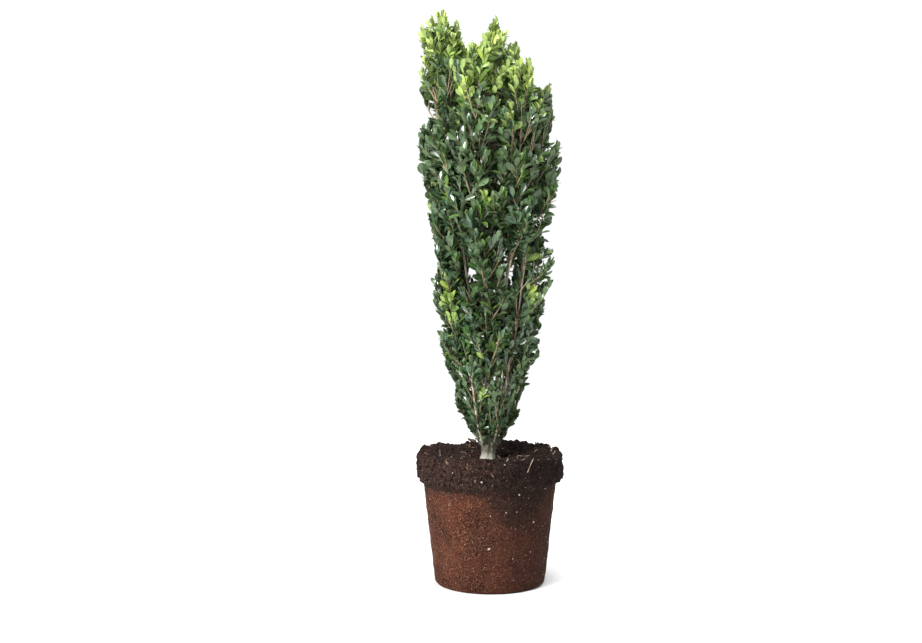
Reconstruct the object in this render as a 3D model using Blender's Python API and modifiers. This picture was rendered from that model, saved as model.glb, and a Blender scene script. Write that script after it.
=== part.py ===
"""A columnar holly about one metre tall, standing on its own root ball.

The root ball keeps the shape of the nursery pot it was lifted from: a tapering drum
with a wider band where the pot had its rim. A short fluted trunk stands on the soil
and breaks into a sheaf of upright boughs. Each bough ends where it enters a mass of
foliage, and the lowest masses spring straight from the trunk. A mass is one stem
with a slim dense core, and with twigs and leaves that grow by a seeded rule. It keeps
to the points that lie nearer to its own stem than to any other mass's.

Run it with: blender --background --python part.py
Units are metres, +Z is up and the front is -Y. The origin is the centre of the root
ball's flat underside.
"""

import math
from collections import namedtuple

import bmesh
import bpy
import numpy as np
from mathutils import Matrix, Vector, noise

# ---------------------------------------------------------------- driving dimensions

CLEARANCE = 0.0003  # between two solids that touch on the real plant

# Root ball
BALL_HEIGHT = 0.235
RIM_RADIUS = 0.132
RIM_ROUNDING = 0.006
RIM_DEPTH = 0.046
RIM_STEP = 0.008  # height of the slope from the rim band down to the shoulder
SHOULDER_RADIUS = 0.119
FOOT_RADIUS = 0.098
FOOT_CHAMFER = 0.004
SOIL_DIP = 0.013  # how far the soil at the trunk lies below the rim
SOIL_LEVEL = BALL_HEIGHT - SOIL_DIP
SEAT_RADIUS = 0.026  # level soil that the trunk stands on
BALL_STEPS = 36  # faces round the ball
WALL_RINGS = 3
TOP_SHARES = (0.17, 0.36, 0.56, 0.78)  # where the top's rings lie, from the seat to the rim
HEAP_SIZE = 0.030  # about half the distance from one heap of loose soil to the next
HEAP_HEIGHT = 0.010
HEAP_DIP = 0.25  # how deep the hollows between them are, against their height
WALL_RELIEF = 0.0022  # of the heaps on the moulded side

# Trunk: a bundle of fused stems, widening upwards above a slight root flare
TRUNK_HEIGHT = 0.040
TRUNK_LEAN = 0.004  # its foot stands this far to the left of its fork
FLARE_RADIUS = 0.0140
WAIST_RADIUS = 0.0120
WAIST_SHARE = 0.25  # of the trunk's height
FORK_RADIUS = 0.0180
FORK_POWER = 1.3  # above 1, the trunk widens mostly near its fork
FLUTES = 7
FLUTE_DEPTH = 0.07  # share of the radius
TRUNK_STEPS = 28
TRUNK_RINGS = 6

# Boughs
BOUGH_FOOT_RADIUS = 0.0024
BOUGH_TIP_RADIUS = 0.0019
BOUGH_SPREAD_POWER = 1.35  # above 1, a bough starts upright and then leans out
BOUGH_SEGMENTS = 7
BOUGH_TIP_SHARE = 0.72  # how far out it ends, against the top of its mass
INNER_RING = 0.0090  # where the high boughs stand on the trunk's fork
OUTER_RING = 0.0144  # where the middle boughs stand

# Crown: an inverted bell whose half width grows with the height above the soil
CROWN_REACH = 0.127
CROWN_FLARE = 0.19
CROWN_DEPTH_SHARE = 0.92  # front to back, against side to side
CROWN_FOOT = 0.014  # the lowest leaves hang no nearer to the soil
TIP_OVERHANG = 0.004  # how far single tips reach past the crown's outline

# Leaves
LEAF_LENGTH = 0.043
LEAF_WIDTH = 0.0210
LEAF_THICKNESS = 0.0010
LEAF_WIDEST = 0.58  # share of the length from root to tip
LEAF_FOLD = 0.10  # share of the width that its edges rise above the midrib
LEAF_SUNK = 0.0003  # of the root, past its twig's middle
LEAF_LEAN = math.radians(34)  # from midway between the directions of twig and stem
LEAF_SPREAD = math.radians(60)  # to either side of the twig's outer face
LEAF_SPACING = 0.013  # along a twig
LEAF_SIZES = (1.0, 0.8)  # tried in turn where the room is short
LEAF_TURNS = 4  # directions tried at each size
LOW_LEAF_SCALE = 0.58  # the leaves at the crown's foot are smaller
FULL_LEAF_HEIGHT = 0.30  # above the soil, from where the leaves are full size
END_LEAF_LEAN = math.radians(14)  # of the leaf at a twig's end
STEM_LEAF_LEAN = math.radians(27)  # of a leaf that takes the place of a twig
TOP_LEAF_LEANS = (math.radians(6), math.radians(24), math.radians(24))  # of those at a stem's tip
TOP_LEAF_TURN = math.radians(162)  # from each of these to the next

# Stems, twigs and cores
STEM_BEND, STEM_SEGMENTS = 0.45, 6  # the bend is how long it keeps its first direction
LOW_STEM_BEND, LOW_STEM_SEGMENTS = 0.3, 5
STEM_TIP_RADIUS = 0.0013
LOW_STEM_RADIUS = 0.0017
TWIG_FOOT_RADIUS = 0.0010
TWIG_TIP_RADIUS = 0.0006
TWIG_SPACING = 0.033  # along the stem, between twigs with full-size leaves
TWIG_LEANS = (math.radians(50), math.radians(32))  # from the stem's direction, tried in turn
TWIG_LENGTHS = (0.062, 0.050, 0.041, 0.033, 0.026, 0.019, 0.013)  # tried in turn
TWIG_BARE_SHARE = 0.55  # of a twig's length, from its foot
TWIG_END_GAP = 0.004  # from its end leaf's root to the next leaf's
TWIG_END_ROOM = 0.6  # of a leaf's length, which must be free past its end
GOLDEN_ANGLE = math.radians(137.5)
CORE_SHARES = (0.46, 0.72)  # least and most of the room from the stem to the edge of its space
CORE_SIDES = 8
CORE_REACHES = np.arange(0.003, 0.060, 0.0015)  # distances from the stem that are tried
CORE_LEAST = 0.0025
CORE_SPAN = (0.05, 0.90)  # the stretch of the stem that it covers
CORE_SWELL = (0.65, 1.0, 1.0, 1.0, 0.85, 0.3)  # of each ring, from the foot to the tip
CORE_RINGS = len(CORE_SWELL)
SPACE_MARGIN = 0.0006  # between two masses
LIMB_MARGIN = 0.0010  # between foliage and a limb
SEED = 29

# Masses of foliage. Angle is in degrees round the trunk, from the right (+X) towards
# the back (+Y). Share is how far out the stem's top stands, from the trunk's axis, 0,
# to the crown's edge, 1. Foot and top are heights above the soil.
Mass = namedtuple("Mass", "name angle share foot top")

LOW_MASSES = [
    Mass(f"foliage_low_{number + 1}", 55 + 60 * number, 0.70, 0.024, 0.20 + 0.025 * (number % 2))
    for number in range(6)
]
MIDDLE_MASSES = [
    Mass(f"foliage_middle_{number + 1}", 25 + 60 * number, 0.72, 0.125, 0.44 + 0.035 * (number % 2))
    for number in range(6)
]
HIGH_MASSES = [
    Mass("foliage_high_left", 163, 0.82, 0.335, 0.756),
    Mass("foliage_high_left_front", 215, 0.68, 0.335, 0.777),
    Mass("foliage_high_front", 252, 0.76, 0.335, 0.732),
    Mass("foliage_high_right_front", 304, 0.78, 0.335, 0.690),
    Mass("foliage_high_right", 341, 0.80, 0.335, 0.664),
    Mass("foliage_high_right_back", 52, 0.66, 0.335, 0.742),
    Mass("foliage_high_back", 102, 0.75, 0.335, 0.745),
    Mass("foliage_high_centre", 0, 0.08, 0.375, 0.783),
]

# Finishes: colour and roughness
SOIL = ((0.09, 0.045, 0.032), 0.95)
BARK = ((0.30, 0.27, 0.19), 0.80)
LEAF_GREEN = ((0.055, 0.12, 0.035), 0.45)

# ---------------------------------------------------------------- scene and objects


def clear_scene():
    for obj in list(bpy.data.objects):
        bpy.data.objects.remove(obj)


def new_collection(name):
    collection = bpy.data.collections.new(name)
    bpy.context.scene.collection.children.link(collection)
    return collection


def principled(name, finish):
    colour, roughness = finish
    material = bpy.data.materials.new(name)
    material.use_nodes = True
    shader = material.node_tree.nodes["Principled BSDF"]
    shader.inputs["Base Color"].default_value = (*colour, 1.0)
    shader.inputs["Roughness"].default_value = roughness
    shader.inputs["Metallic"].default_value = 0.0
    return material


def add_mesh(name, bm, collection):
    """Turns a bmesh into a named object of the collection."""
    mesh = bpy.data.meshes.new(name)
    bm.to_mesh(mesh)
    bm.free()
    obj = bpy.data.objects.new(name, mesh)
    collection.objects.link(obj)
    return obj


def applied(obj):
    """The object's mesh with its modifiers applied, as a new bmesh."""
    bm = bmesh.new()
    bm.from_object(obj, bpy.context.evaluated_depsgraph_get())
    return bm


def finish_piece(name, bm, collection, finish):
    """A finished sub-part, with its own material and smooth shading."""
    obj = add_mesh(name, bm, collection)
    obj.data.materials.append(principled(name, finish))
    obj.data.shade_smooth()
    obj.data.set_sharp_from_angle(angle=math.radians(35))


# ---------------------------------------------------------------- turned pieces


def turned(profile, steps, collection):
    """A solid of revolution from (radius, height) points, listed from top to bottom."""
    bm = bmesh.new()
    verts = [bm.verts.new((radius, 0, height)) for radius, height in profile]
    for upper, lower in zip(verts, verts[1:]):
        bm.edges.new((upper, lower))
    outline = add_mesh("outline", bm, collection)
    screw = outline.modifiers.new("Screw", "SCREW")
    screw.steps = screw.render_steps = steps
    screw.use_merge_vertices = True
    screw.merge_threshold = 0.0001
    solid = applied(outline)
    bpy.data.objects.remove(outline)
    bmesh.ops.remove_doubles(solid, verts=solid.verts, dist=0.0001)
    return solid


def build_root_ball(collection):
    shoulder = BALL_HEIGHT - RIM_DEPTH - RIM_STEP
    profile = [(0, SOIL_LEVEL), (SEAT_RADIUS, SOIL_LEVEL)]
    for share in TOP_SHARES:
        radius = SEAT_RADIUS + (RIM_RADIUS - SEAT_RADIUS) * share
        profile.append((radius, SOIL_LEVEL + SOIL_DIP * share))
    profile += [
        (RIM_RADIUS - RIM_ROUNDING, BALL_HEIGHT),
        (RIM_RADIUS, BALL_HEIGHT - RIM_ROUNDING),
        (RIM_RADIUS, BALL_HEIGHT - RIM_DEPTH / 2),
        (RIM_RADIUS, BALL_HEIGHT - RIM_DEPTH),
    ]
    for ring in range(WALL_RINGS + 1):
        share = ring / WALL_RINGS
        radius = SHOULDER_RADIUS + (FOOT_RADIUS - SHOULDER_RADIUS) * share
        profile.append((radius, shoulder + (FOOT_CHAMFER - shoulder) * share))
    profile += [(FOOT_RADIUS - FOOT_CHAMFER, 0), (0, 0)]
    bm = turned(profile, BALL_STEPS, collection)
    for vert in bm.verts:
        place = vert.co.copy()
        radius = math.hypot(place.x, place.y)
        if place.z < FOOT_CHAMFER / 2 or radius < SEAT_RADIUS * 1.01:
            continue
        heap = noise.noise(place / HEAP_SIZE)
        if place.z > BALL_HEIGHT - SOIL_DIP:
            vert.co.z += HEAP_HEIGHT * max(heap, -HEAP_DIP)
        outward = Vector((place.x, place.y, 0)) / radius
        vert.co += outward * WALL_RELIEF * heap
    finish_piece("root_ball", bm, collection, SOIL)


def trunk_radius(height):
    """Root flare at the soil, a waist above it, then widening to the fork."""
    share = height / TRUNK_HEIGHT
    if share < WAIST_SHARE:
        narrowing = math.sin(share / WAIST_SHARE * math.pi / 2)
        return FLARE_RADIUS + (WAIST_RADIUS - FLARE_RADIUS) * narrowing
    rise = (share - WAIST_SHARE) / (1 - WAIST_SHARE)
    return WAIST_RADIUS + (FORK_RADIUS - WAIST_RADIUS) * rise**FORK_POWER


def trunk_side(height, turn, radius):
    """The fluted, leaning trunk's own point for a round trunk's radius and turn."""
    fluted = radius * (1 + FLUTE_DEPTH * math.cos(FLUTES * turn))
    lean = TRUNK_LEAN * (1 - height / TRUNK_HEIGHT)
    return fluted * math.cos(turn) - lean, fluted * math.sin(turn)


def build_trunk(collection):
    base = SOIL_LEVEL + CLEARANCE
    heights = [TRUNK_HEIGHT * (1 - ring / TRUNK_RINGS) for ring in range(TRUNK_RINGS + 1)]
    profile = [(0, base + TRUNK_HEIGHT)]
    profile += [(trunk_radius(height), base + height) for height in heights]
    profile.append((0, base))
    bm = turned(profile, TRUNK_STEPS, collection)
    for vert in bm.verts:
        x, y, z = vert.co
        vert.co.x, vert.co.y = trunk_side(z - base, math.atan2(y, x), math.hypot(x, y))
    finish_piece("trunk", bm, collection, BARK)


# ---------------------------------------------------------------- limbs and stems


def unit(vector):
    return vector / np.linalg.norm(vector)


def crown_half_width(height):
    """Side to side, at a height above the soil."""
    return CROWN_REACH * (1 - np.exp(-np.maximum(height, 0) / CROWN_FLARE))


def in_crown(angle, share, height):
    """The point at a share of the crown's half width, in the part's frame."""
    reach = share * crown_half_width(height)
    turn = math.radians(angle)
    return np.array([
        reach * math.cos(turn),
        reach * math.sin(turn) * CROWN_DEPTH_SHARE,
        SOIL_LEVEL + height,
    ])


def bough_path(mass, ring_radius):
    """From the trunk's fork, starting upright, to the foot of its mass."""
    turn = math.radians(mass.angle)
    start = np.array([
        ring_radius * math.cos(turn),
        ring_radius * math.sin(turn),
        SOIL_LEVEL + TRUNK_HEIGHT + 2 * CLEARANCE,
    ])
    end = in_crown(mass.angle, BOUGH_TIP_SHARE * mass.share, mass.foot)
    rise = np.linspace(0, 1, BOUGH_SEGMENTS + 1)[:, None]
    spread = rise**BOUGH_SPREAD_POWER
    return start + (end - start) * np.hstack([spread, spread, rise])


def build_bough(name, path, collection):
    curve = bpy.data.curves.new(name, "CURVE")
    curve.dimensions = "3D"
    curve.bevel_depth = 1.0
    curve.bevel_resolution = 1
    curve.use_fill_caps = True
    spline = curve.splines.new("POLY")
    spline.points.add(len(path) - 1)
    for index, (point, place) in enumerate(zip(spline.points, path)):
        point.co = (*place, 1)
        point.radius = np.interp(index, (0, len(path) - 1), (BOUGH_FOOT_RADIUS, BOUGH_TIP_RADIUS))
    curve.materials.append(principled(name, BARK))
    obj = bpy.data.objects.new(name, curve)
    collection.objects.link(obj)


def stem_path(foot, direction, top, bend, segments):
    """A stem that sets out in one direction and bends up to its top."""
    control = foot + direction * bend * (top[2] - foot[2])
    share = np.linspace(0, 1, segments + 1)[:, None]
    return (1 - share) ** 2 * foot + 2 * share * (1 - share) * control + share**2 * top


def mass_stem(mass, bough):
    """The stem of a middle or high mass, which goes on from its bough."""
    direction = unit(bough[-1] - bough[-2])
    foot = bough[-1] + direction * CLEARANCE
    top = in_crown(mass.angle, mass.share, mass.top - LEAF_LENGTH)
    return stem_path(foot, direction, top, STEM_BEND, STEM_SEGMENTS)


def low_mass_stem(mass):
    """The stem of a low mass, which springs from the trunk's side."""
    turn = math.radians(mass.angle)
    outward = np.array([math.cos(turn), math.sin(turn), 0])
    foot = np.array([*trunk_side(mass.foot, turn, trunk_radius(mass.foot)), SOIL_LEVEL + mass.foot])
    foot += outward * (LOW_STEM_RADIUS + CLEARANCE)
    top = in_crown(mass.angle, mass.share, mass.top - LEAF_LENGTH * leaf_scale(mass.top))
    return stem_path(foot, unit(outward + (0, 0, 1)), top, LOW_STEM_BEND, LOW_STEM_SEGMENTS)


# ---------------------------------------------------------------- each mass's space


class Segments:
    """Straight pieces of several paths, each with an owner and its radius at both ends."""

    def __init__(self, paths, radii):
        self.start = np.vstack([path[:-1] for path in paths])
        self.run = np.vstack([np.diff(path, axis=0) for path in paths])
        self.owner = np.repeat(range(len(paths)), [len(path) - 1 for path in paths])
        self.radius = np.concatenate([radius[:-1] for radius in radii])
        self.taper = np.concatenate([np.diff(radius) for radius in radii])

    def clear_distance(self, points):
        """From each point to the surface round each segment."""
        offset = points[:, None, :] - self.start
        along = np.clip((offset * self.run).sum(2) / (self.run**2).sum(1), 0, 1)
        distance = np.linalg.norm(offset - along[:, :, None] * self.run, axis=2)
        return distance - self.radius - along * self.taper


class Spaces:
    """Which points each mass may fill, and which the limbs take up."""

    def __init__(self, stems, limbs, limb_radii):
        self.names = list(stems)
        paths = list(stems.values())
        self.stems = Segments(paths, [np.zeros(len(path)) for path in paths])
        self.limbs = Segments(limbs, limb_radii)

    def inside(self, mass, points):
        """For each point, whether it is in this mass's space, in the crown and off the limbs."""
        heights = points[:, 2] - SOIL_LEVEL
        reach = np.hypot(points[:, 0], points[:, 1] / CROWN_DEPTH_SHARE)
        in_outline = (heights > CROWN_FOOT) & (heights < mass.top)
        in_outline &= reach < crown_half_width(heights) + TIP_OVERHANG
        distance = self.stems.clear_distance(points)
        own = self.stems.owner == self.names.index(mass.name)
        nearest_own = distance[:, own].min(1) + SPACE_MARGIN < distance[:, ~own].min(1)
        off_limbs = self.limbs.clear_distance(points).min(1) > LIMB_MARGIN
        return in_outline & nearest_own & off_limbs


# ---------------------------------------------------------------- shapes of foliage


def leaning(direction, lean, turn):
    """The direction tipped by lean, towards the side that turn picks."""
    side = unit(np.cross(direction, (0.31, 0.95, 0.05)))
    other = np.cross(direction, side)
    outward = math.cos(turn) * side + math.sin(turn) * other
    return math.cos(lean) * direction + math.sin(lean) * outward


def leaf_frame(root, along, rising):
    """A leaf's own axes: X across it, Y to its tip, Z out of its upper face."""
    upper = unit(rising - (rising @ along) * along)
    frame = np.eye(4)
    frame[:3, 0] = np.cross(along, upper)
    frame[:3, 1] = along
    frame[:3, 2] = upper
    frame[:3, 3] = root
    return frame


def leaf_scale(place_height):
    """Leaves are full size from a third of the way up the crown."""
    share = min(1.0, max(0.0, place_height) / FULL_LEAF_HEIGHT)
    return LOW_LEAF_SCALE + (1 - LOW_LEAF_SCALE) * share


def leaf_bmesh(frame, scale):
    """A folded kite of eight faces, its root at the frame's origin and its tip on +Y."""
    bm = bmesh.new()
    bmesh.ops.create_uvsphere(bm, u_segments=4, v_segments=2, radius=1)
    length, width = LEAF_LENGTH * scale, LEAF_WIDTH * scale
    for vert in bm.verts:
        x, y, z = vert.co
        vert.co = (x * width / 2, length * (0.5 + y / 2), z * LEAF_THICKNESS / 2)
        if abs(x) > 0.5:
            vert.co.y = length * LEAF_WIDEST
            vert.co.z = width * LEAF_FOLD
    bm.transform(Matrix(frame))
    return bm


def leaf_points(frame, scale):
    """Spots all over a leaf, which must stay in its mass's space."""
    along, side = np.meshgrid((0.15, 0.3, 0.45, LEAF_WIDEST, 0.72, 0.86, 1.0), (-1, -0.5, 0, 0.5, 1))
    breadth = np.interp(along, (0, LEAF_WIDEST, 1), (0, 1, 0))
    spots = np.stack([
        side * breadth * LEAF_WIDTH / 2,
        along * LEAF_LENGTH,
        np.abs(side) * breadth * LEAF_WIDTH * LEAF_FOLD,
    ], axis=-1)
    return scale * spots.reshape(-1, 3) @ frame[:3, :3].T + frame[:3, 3]


def twig_bmesh(start, end):
    """A three-sided tapering stick."""
    bm = bmesh.new()
    run = Vector(end - start)
    turn = run.to_track_quat("Z", "Y").to_matrix().to_4x4()
    bmesh.ops.create_cone(
        bm,
        cap_ends=True,
        segments=3,
        radius1=TWIG_FOOT_RADIUS,
        radius2=TWIG_TIP_RADIUS,
        depth=run.length,
        matrix=Matrix.Translation((start + end) / 2) @ turn,
    )
    return bm


def lofted(rings):
    """A closed solid through rings of points, from the lowest to the highest."""
    bm = bmesh.new()
    sides = len(rings[0])
    loops = [[bm.verts.new(point) for point in ring] for ring in rings]
    for lower, upper in zip(loops, loops[1:]):
        for side in range(sides):
            after = (side + 1) % sides
            bm.faces.new((lower[side], lower[after], upper[after], upper[side]))
    bm.faces.new(reversed(loops[0]))
    bm.faces.new(loops[-1])
    return bm


def stem_bmesh(path, foot_radius):
    """A four-sided tapering stem."""
    rings = []
    for index, place in enumerate(path):
        run = path[min(index + 1, len(path) - 1)] - path[max(index - 1, 0)]
        radius = np.interp(index, (0, len(path) - 1), (foot_radius, STEM_TIP_RADIUS))
        side = unit(np.cross((0, 1, 0), run))
        other = unit(np.cross(run, side))
        rings.append([place + radius * corner for corner in (side, other, -side, -other)])
    return lofted(rings)


# ---------------------------------------------------------------- growing a mass


class Foliage:
    """Grows one mass by the seeded rule and keeps its pieces as bmeshes."""

    def __init__(self, mass, stem, spaces, seed):
        self.mass = mass
        self.stem = stem
        self.spaces = spaces
        self.random = np.random.default_rng(seed)
        self.pieces = []
        self.leaves = 0
        lengths = np.linalg.norm(np.diff(stem, axis=0), axis=1)
        self.distance = np.concatenate([[0], np.cumsum(lengths)])

    def fits(self, points):
        return self.spaces.inside(self.mass, points).all()

    def stem_spot(self, along):
        """The point at a distance along the stem, and the stem's direction there."""
        spot = np.array([np.interp(along, self.distance, self.stem[:, axis]) for axis in range(3)])
        segment = np.clip(np.searchsorted(self.distance, along) - 1, 0, len(self.stem) - 2)
        return spot, unit(self.stem[segment + 1] - self.stem[segment])

    def try_leaf(self, spot, rising, lean, turn):
        """Adds a leaf with its root sunk in the twig, unless it would leave the space."""
        full = leaf_scale(spot[2] - SOIL_LEVEL) * self.random.uniform(0.92, 1.05)
        for size in LEAF_SIZES:
            for step in range(LEAF_TURNS):
                along = leaning(rising, lean, turn + step * math.tau / LEAF_TURNS)
                frame = leaf_frame(spot - along * LEAF_SUNK, along, rising)
                if self.fits(leaf_points(frame, full * size)):
                    self.pieces.append(leaf_bmesh(frame, full * size))
                    self.leaves += 1
                    return

    def grow_twig(self, spot, direction, stem_direction, turn):
        """The longest of the twigs tried that stays in the space, with its leaves."""
        scale = leaf_scale(spot[2] - SOIL_LEVEL)
        rising = unit(direction + stem_direction)
        for length in np.array(TWIG_LENGTHS) * scale:
            end = spot + direction * length
            tip = end + rising * LEAF_LENGTH * TWIG_END_ROOM * scale
            along = spot + np.linspace(0.2, 1, 5)[:, None] * (end - spot)
            if self.fits(np.vstack([along, tip])):
                break
        else:
            return False
        self.pieces.append(twig_bmesh(spot, end))
        self.try_leaf(end - direction * TWIG_TIP_RADIUS * 2, rising, END_LEAF_LEAN, turn)
        side = 1
        end_of_bare = length * TWIG_BARE_SHARE
        for place in np.arange(length - TWIG_END_GAP, end_of_bare, -LEAF_SPACING * scale):
            self.try_leaf(spot + direction * place, rising, LEAF_LEAN, turn + side * LEAF_SPREAD)
            side = -side
        return True

    def grow_twigs(self):
        turn = self.random.uniform(0, math.tau)
        along = TWIG_SPACING / 2
        while along < self.distance[-1] - TWIG_TIP_RADIUS:
            spot, stem_direction = self.stem_spot(along)
            turn += GOLDEN_ANGLE
            for lean in TWIG_LEANS:
                if self.grow_twig(spot, leaning(stem_direction, lean, turn), stem_direction, turn):
                    break
            else:
                self.try_leaf(spot, stem_direction, STEM_LEAF_LEAN, turn)
            along += TWIG_SPACING * leaf_scale(spot[2] - SOIL_LEVEL)
        tip, direction = self.stem_spot(self.distance[-1])
        for lean in TOP_LEAF_LEANS:
            self.try_leaf(tip - direction * STEM_TIP_RADIUS * 2, direction, lean, turn)
            turn += TOP_LEAF_TURN

    def room(self, spot, outward):
        """How far the mass's space reaches from its stem, in one level direction."""
        free = self.spaces.inside(self.mass, spot + outward * CORE_REACHES[:, None])
        reach = CORE_REACHES[-1] if free.all() else CORE_REACHES[np.argmin(free)]
        limbs = self.spaces.limbs
        for share in np.linspace(0, 1, 6):
            place = limbs.start + share * limbs.run
            height = place[:, 2]
            level = np.abs(height - spot[2]) < self.distance[-1] / CORE_RINGS
            stem = np.stack([np.interp(height, self.stem[:, 2], self.stem[:, axis]) for axis in (0, 1)])
            x, y = place[:, :2].T - stem
            distance = np.hypot(x, y)
            facing = x * outward[0] + y * outward[1] > distance * math.cos(math.tau / CORE_SIDES)
            reach = min([reach, *(distance - limbs.radius - LIMB_MARGIN)[level & facing]])
        return reach

    def core(self):
        """A knobbly spindle round the stem: rings at a share of the room on each side."""
        rings = []
        for share, swell in zip(np.linspace(*CORE_SPAN, CORE_RINGS), CORE_SWELL):
            spot, _ = self.stem_spot(share * self.distance[-1])
            ring = []
            for side in range(CORE_SIDES):
                turn = math.tau * side / CORE_SIDES
                outward = np.array([math.cos(turn), math.sin(turn), 0])
                radius = swell * self.room(spot, outward) * self.random.uniform(*CORE_SHARES)
                radius = max(CORE_LEAST, radius)
                ring.append(spot + outward * radius)
            rings.append(ring)
        return lofted(rings)


def keep_largest_piece(bm):
    """Drops loose scraps, and with them the inner skin of any sealed hollow."""
    unseen = set(bm.verts)
    pieces = []
    while unseen:
        piece = [unseen.pop()]
        for vert in piece:
            linked = {edge.other_vert(vert) for edge in vert.link_edges} & unseen
            unseen -= linked
            piece.extend(linked)
        pieces.append(piece)
    pieces.sort(key=len)
    for piece in pieces[:-1]:
        bmesh.ops.delete(bm, geom=piece, context="VERTS")


def build_mass(foliage, foot_radius, collection):
    """Fuses the stem, core, twigs and leaves of one mass into one solid."""
    stem = add_mesh("stem", stem_bmesh(foliage.stem, foot_radius), collection)
    loose = new_collection("pieces")
    add_mesh("core", foliage.core(), loose)
    for piece in foliage.pieces:
        add_mesh("piece", piece, loose)
    union = stem.modifiers.new("Union", "BOOLEAN")
    union.operation = "UNION"
    union.operand_type = "COLLECTION"
    union.collection = loose
    union.solver = "EXACT"
    fused = applied(stem)
    for obj in [stem, *loose.objects]:
        bpy.data.objects.remove(obj)
    bpy.data.collections.remove(loose)
    keep_largest_piece(fused)
    bmesh.ops.triangulate(fused, faces=fused.faces)
    print(f"{foliage.mass.name}: {foliage.leaves} leaves, {len(fused.faces)} triangles")
    finish_piece(foliage.mass.name, fused, collection, LEAF_GREEN)


# ---------------------------------------------------------------- the whole plant


def main():
    clear_scene()
    holly = new_collection("columnar_holly")
    build_root_ball(holly)
    build_trunk(holly)

    trunk_line = np.array([[0, 0, SOIL_LEVEL + share * TRUNK_HEIGHT] for share in (0, 0.3, 1)])
    limbs = [trunk_line]
    limb_radii = [(1 + FLUTE_DEPTH) * np.array([WAIST_RADIUS, WAIST_RADIUS, FORK_RADIUS])]
    stems = {mass.name: low_mass_stem(mass) for mass in LOW_MASSES}
    for mass in MIDDLE_MASSES + HIGH_MASSES:
        ring_radius = OUTER_RING if mass in MIDDLE_MASSES else INNER_RING
        if mass.name == "foliage_high_centre":
            ring_radius = 0
        path = bough_path(mass, ring_radius)
        build_bough(mass.name.replace("foliage", "bough"), path, holly)
        stems[mass.name] = mass_stem(mass, path)
        limbs.append(path)
        limb_radii.append(np.linspace(BOUGH_FOOT_RADIUS, BOUGH_TIP_RADIUS, len(path)))

    spaces = Spaces(stems, limbs, limb_radii)
    for index, mass in enumerate(LOW_MASSES + MIDDLE_MASSES + HIGH_MASSES):
        foliage = Foliage(mass, stems[mass.name], spaces, SEED + index)
        foliage.grow_twigs()
        build_mass(foliage, LOW_STEM_RADIUS if mass in LOW_MASSES else BOUGH_TIP_RADIUS, holly)


main()
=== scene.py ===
# %% [markdown]
# # A columnar holly on its root ball
#
# A narrow evergreen about a metre tall, lifted out of its nursery pot. What stands on
# the floor is its root ball, soil held together by roots, still in the pot's shape. A
# short fluted trunk breaks into a sheaf of upright boughs, and dense small leaves hide
# most of them. The lesson works from the ground up: soil, trunk, boughs, and then the
# foliage, which grows by a rule.
#
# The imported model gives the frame. Everything here is in metres, +Z is up and the
# front is -Y, so a new piece goes straight to its place.

# %% Load the frame
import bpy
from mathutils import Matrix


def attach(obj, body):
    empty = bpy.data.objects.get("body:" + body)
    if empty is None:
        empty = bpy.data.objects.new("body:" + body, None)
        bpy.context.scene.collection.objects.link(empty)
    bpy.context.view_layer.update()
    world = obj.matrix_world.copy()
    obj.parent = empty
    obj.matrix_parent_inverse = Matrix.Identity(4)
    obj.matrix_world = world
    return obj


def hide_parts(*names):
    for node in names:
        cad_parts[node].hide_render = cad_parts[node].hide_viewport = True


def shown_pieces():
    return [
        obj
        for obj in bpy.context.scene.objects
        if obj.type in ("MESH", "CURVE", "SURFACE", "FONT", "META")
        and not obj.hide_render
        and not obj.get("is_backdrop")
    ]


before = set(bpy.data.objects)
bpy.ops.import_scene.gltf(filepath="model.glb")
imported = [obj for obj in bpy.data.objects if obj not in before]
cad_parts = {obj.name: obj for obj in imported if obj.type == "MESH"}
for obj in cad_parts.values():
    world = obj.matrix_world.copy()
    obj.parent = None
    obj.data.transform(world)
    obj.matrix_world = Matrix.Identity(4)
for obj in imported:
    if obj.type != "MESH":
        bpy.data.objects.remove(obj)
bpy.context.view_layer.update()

import math
from collections import namedtuple

import bmesh
import bpy
import numpy as np
from mathutils import Matrix, Vector, noise

# %% [markdown]
# ## Camera, light and floor
#
# The camera stands a little above the middle of the plant and looks very slightly
# down. A long lens keeps the column's sides almost parallel. The light is that of a
# white studio: a bright surround, one broad lamp from the upper left, one overhead and
# a weaker one behind. The overhead lamp gives the small glossy leaves their pale sheen,
# and the gaps between them stay dark because little light finds its way in.

# %% Camera
def in_scene(name, data):
    """An object, linked to the scene."""
    item = bpy.data.objects.new(name, data)
    bpy.context.scene.collection.objects.link(item)
    return item


camera = in_scene("camera", bpy.data.cameras.new("camera"))
camera.data.lens = 52.9
camera.data.sensor_width = 36
camera.location = (0, -2.4, 0.615)
aim = Vector((-0.0513, 0, 0.4665))
camera.rotation_euler = (aim - camera.location).to_track_quat("-Z", "Y").to_euler()
bpy.context.scene.camera = camera

# %% Studio light
PLANT_MIDDLE = Vector((0, 0, 0.5))


def softbox(name, place, size, power):
    """A square lamp that faces the middle of the plant."""
    lamp = in_scene(name, bpy.data.lights.new(name, "AREA"))
    lamp.data.size = size
    lamp.data.energy = power
    lamp.location = place
    lamp.rotation_euler = (PLANT_MIDDLE - Vector(place)).to_track_quat("-Z", "Y").to_euler()


softbox("key_light", (-1.7, -2.0, 2.0), 0.8, 145)
softbox("top_light", (0.3, -0.3, 2.9), 1.0, 62)
softbox("back_light", (1.2, 2.2, 1.8), 1.2, 40)

bpy.context.scene.view_settings.view_transform = "Standard"

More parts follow.
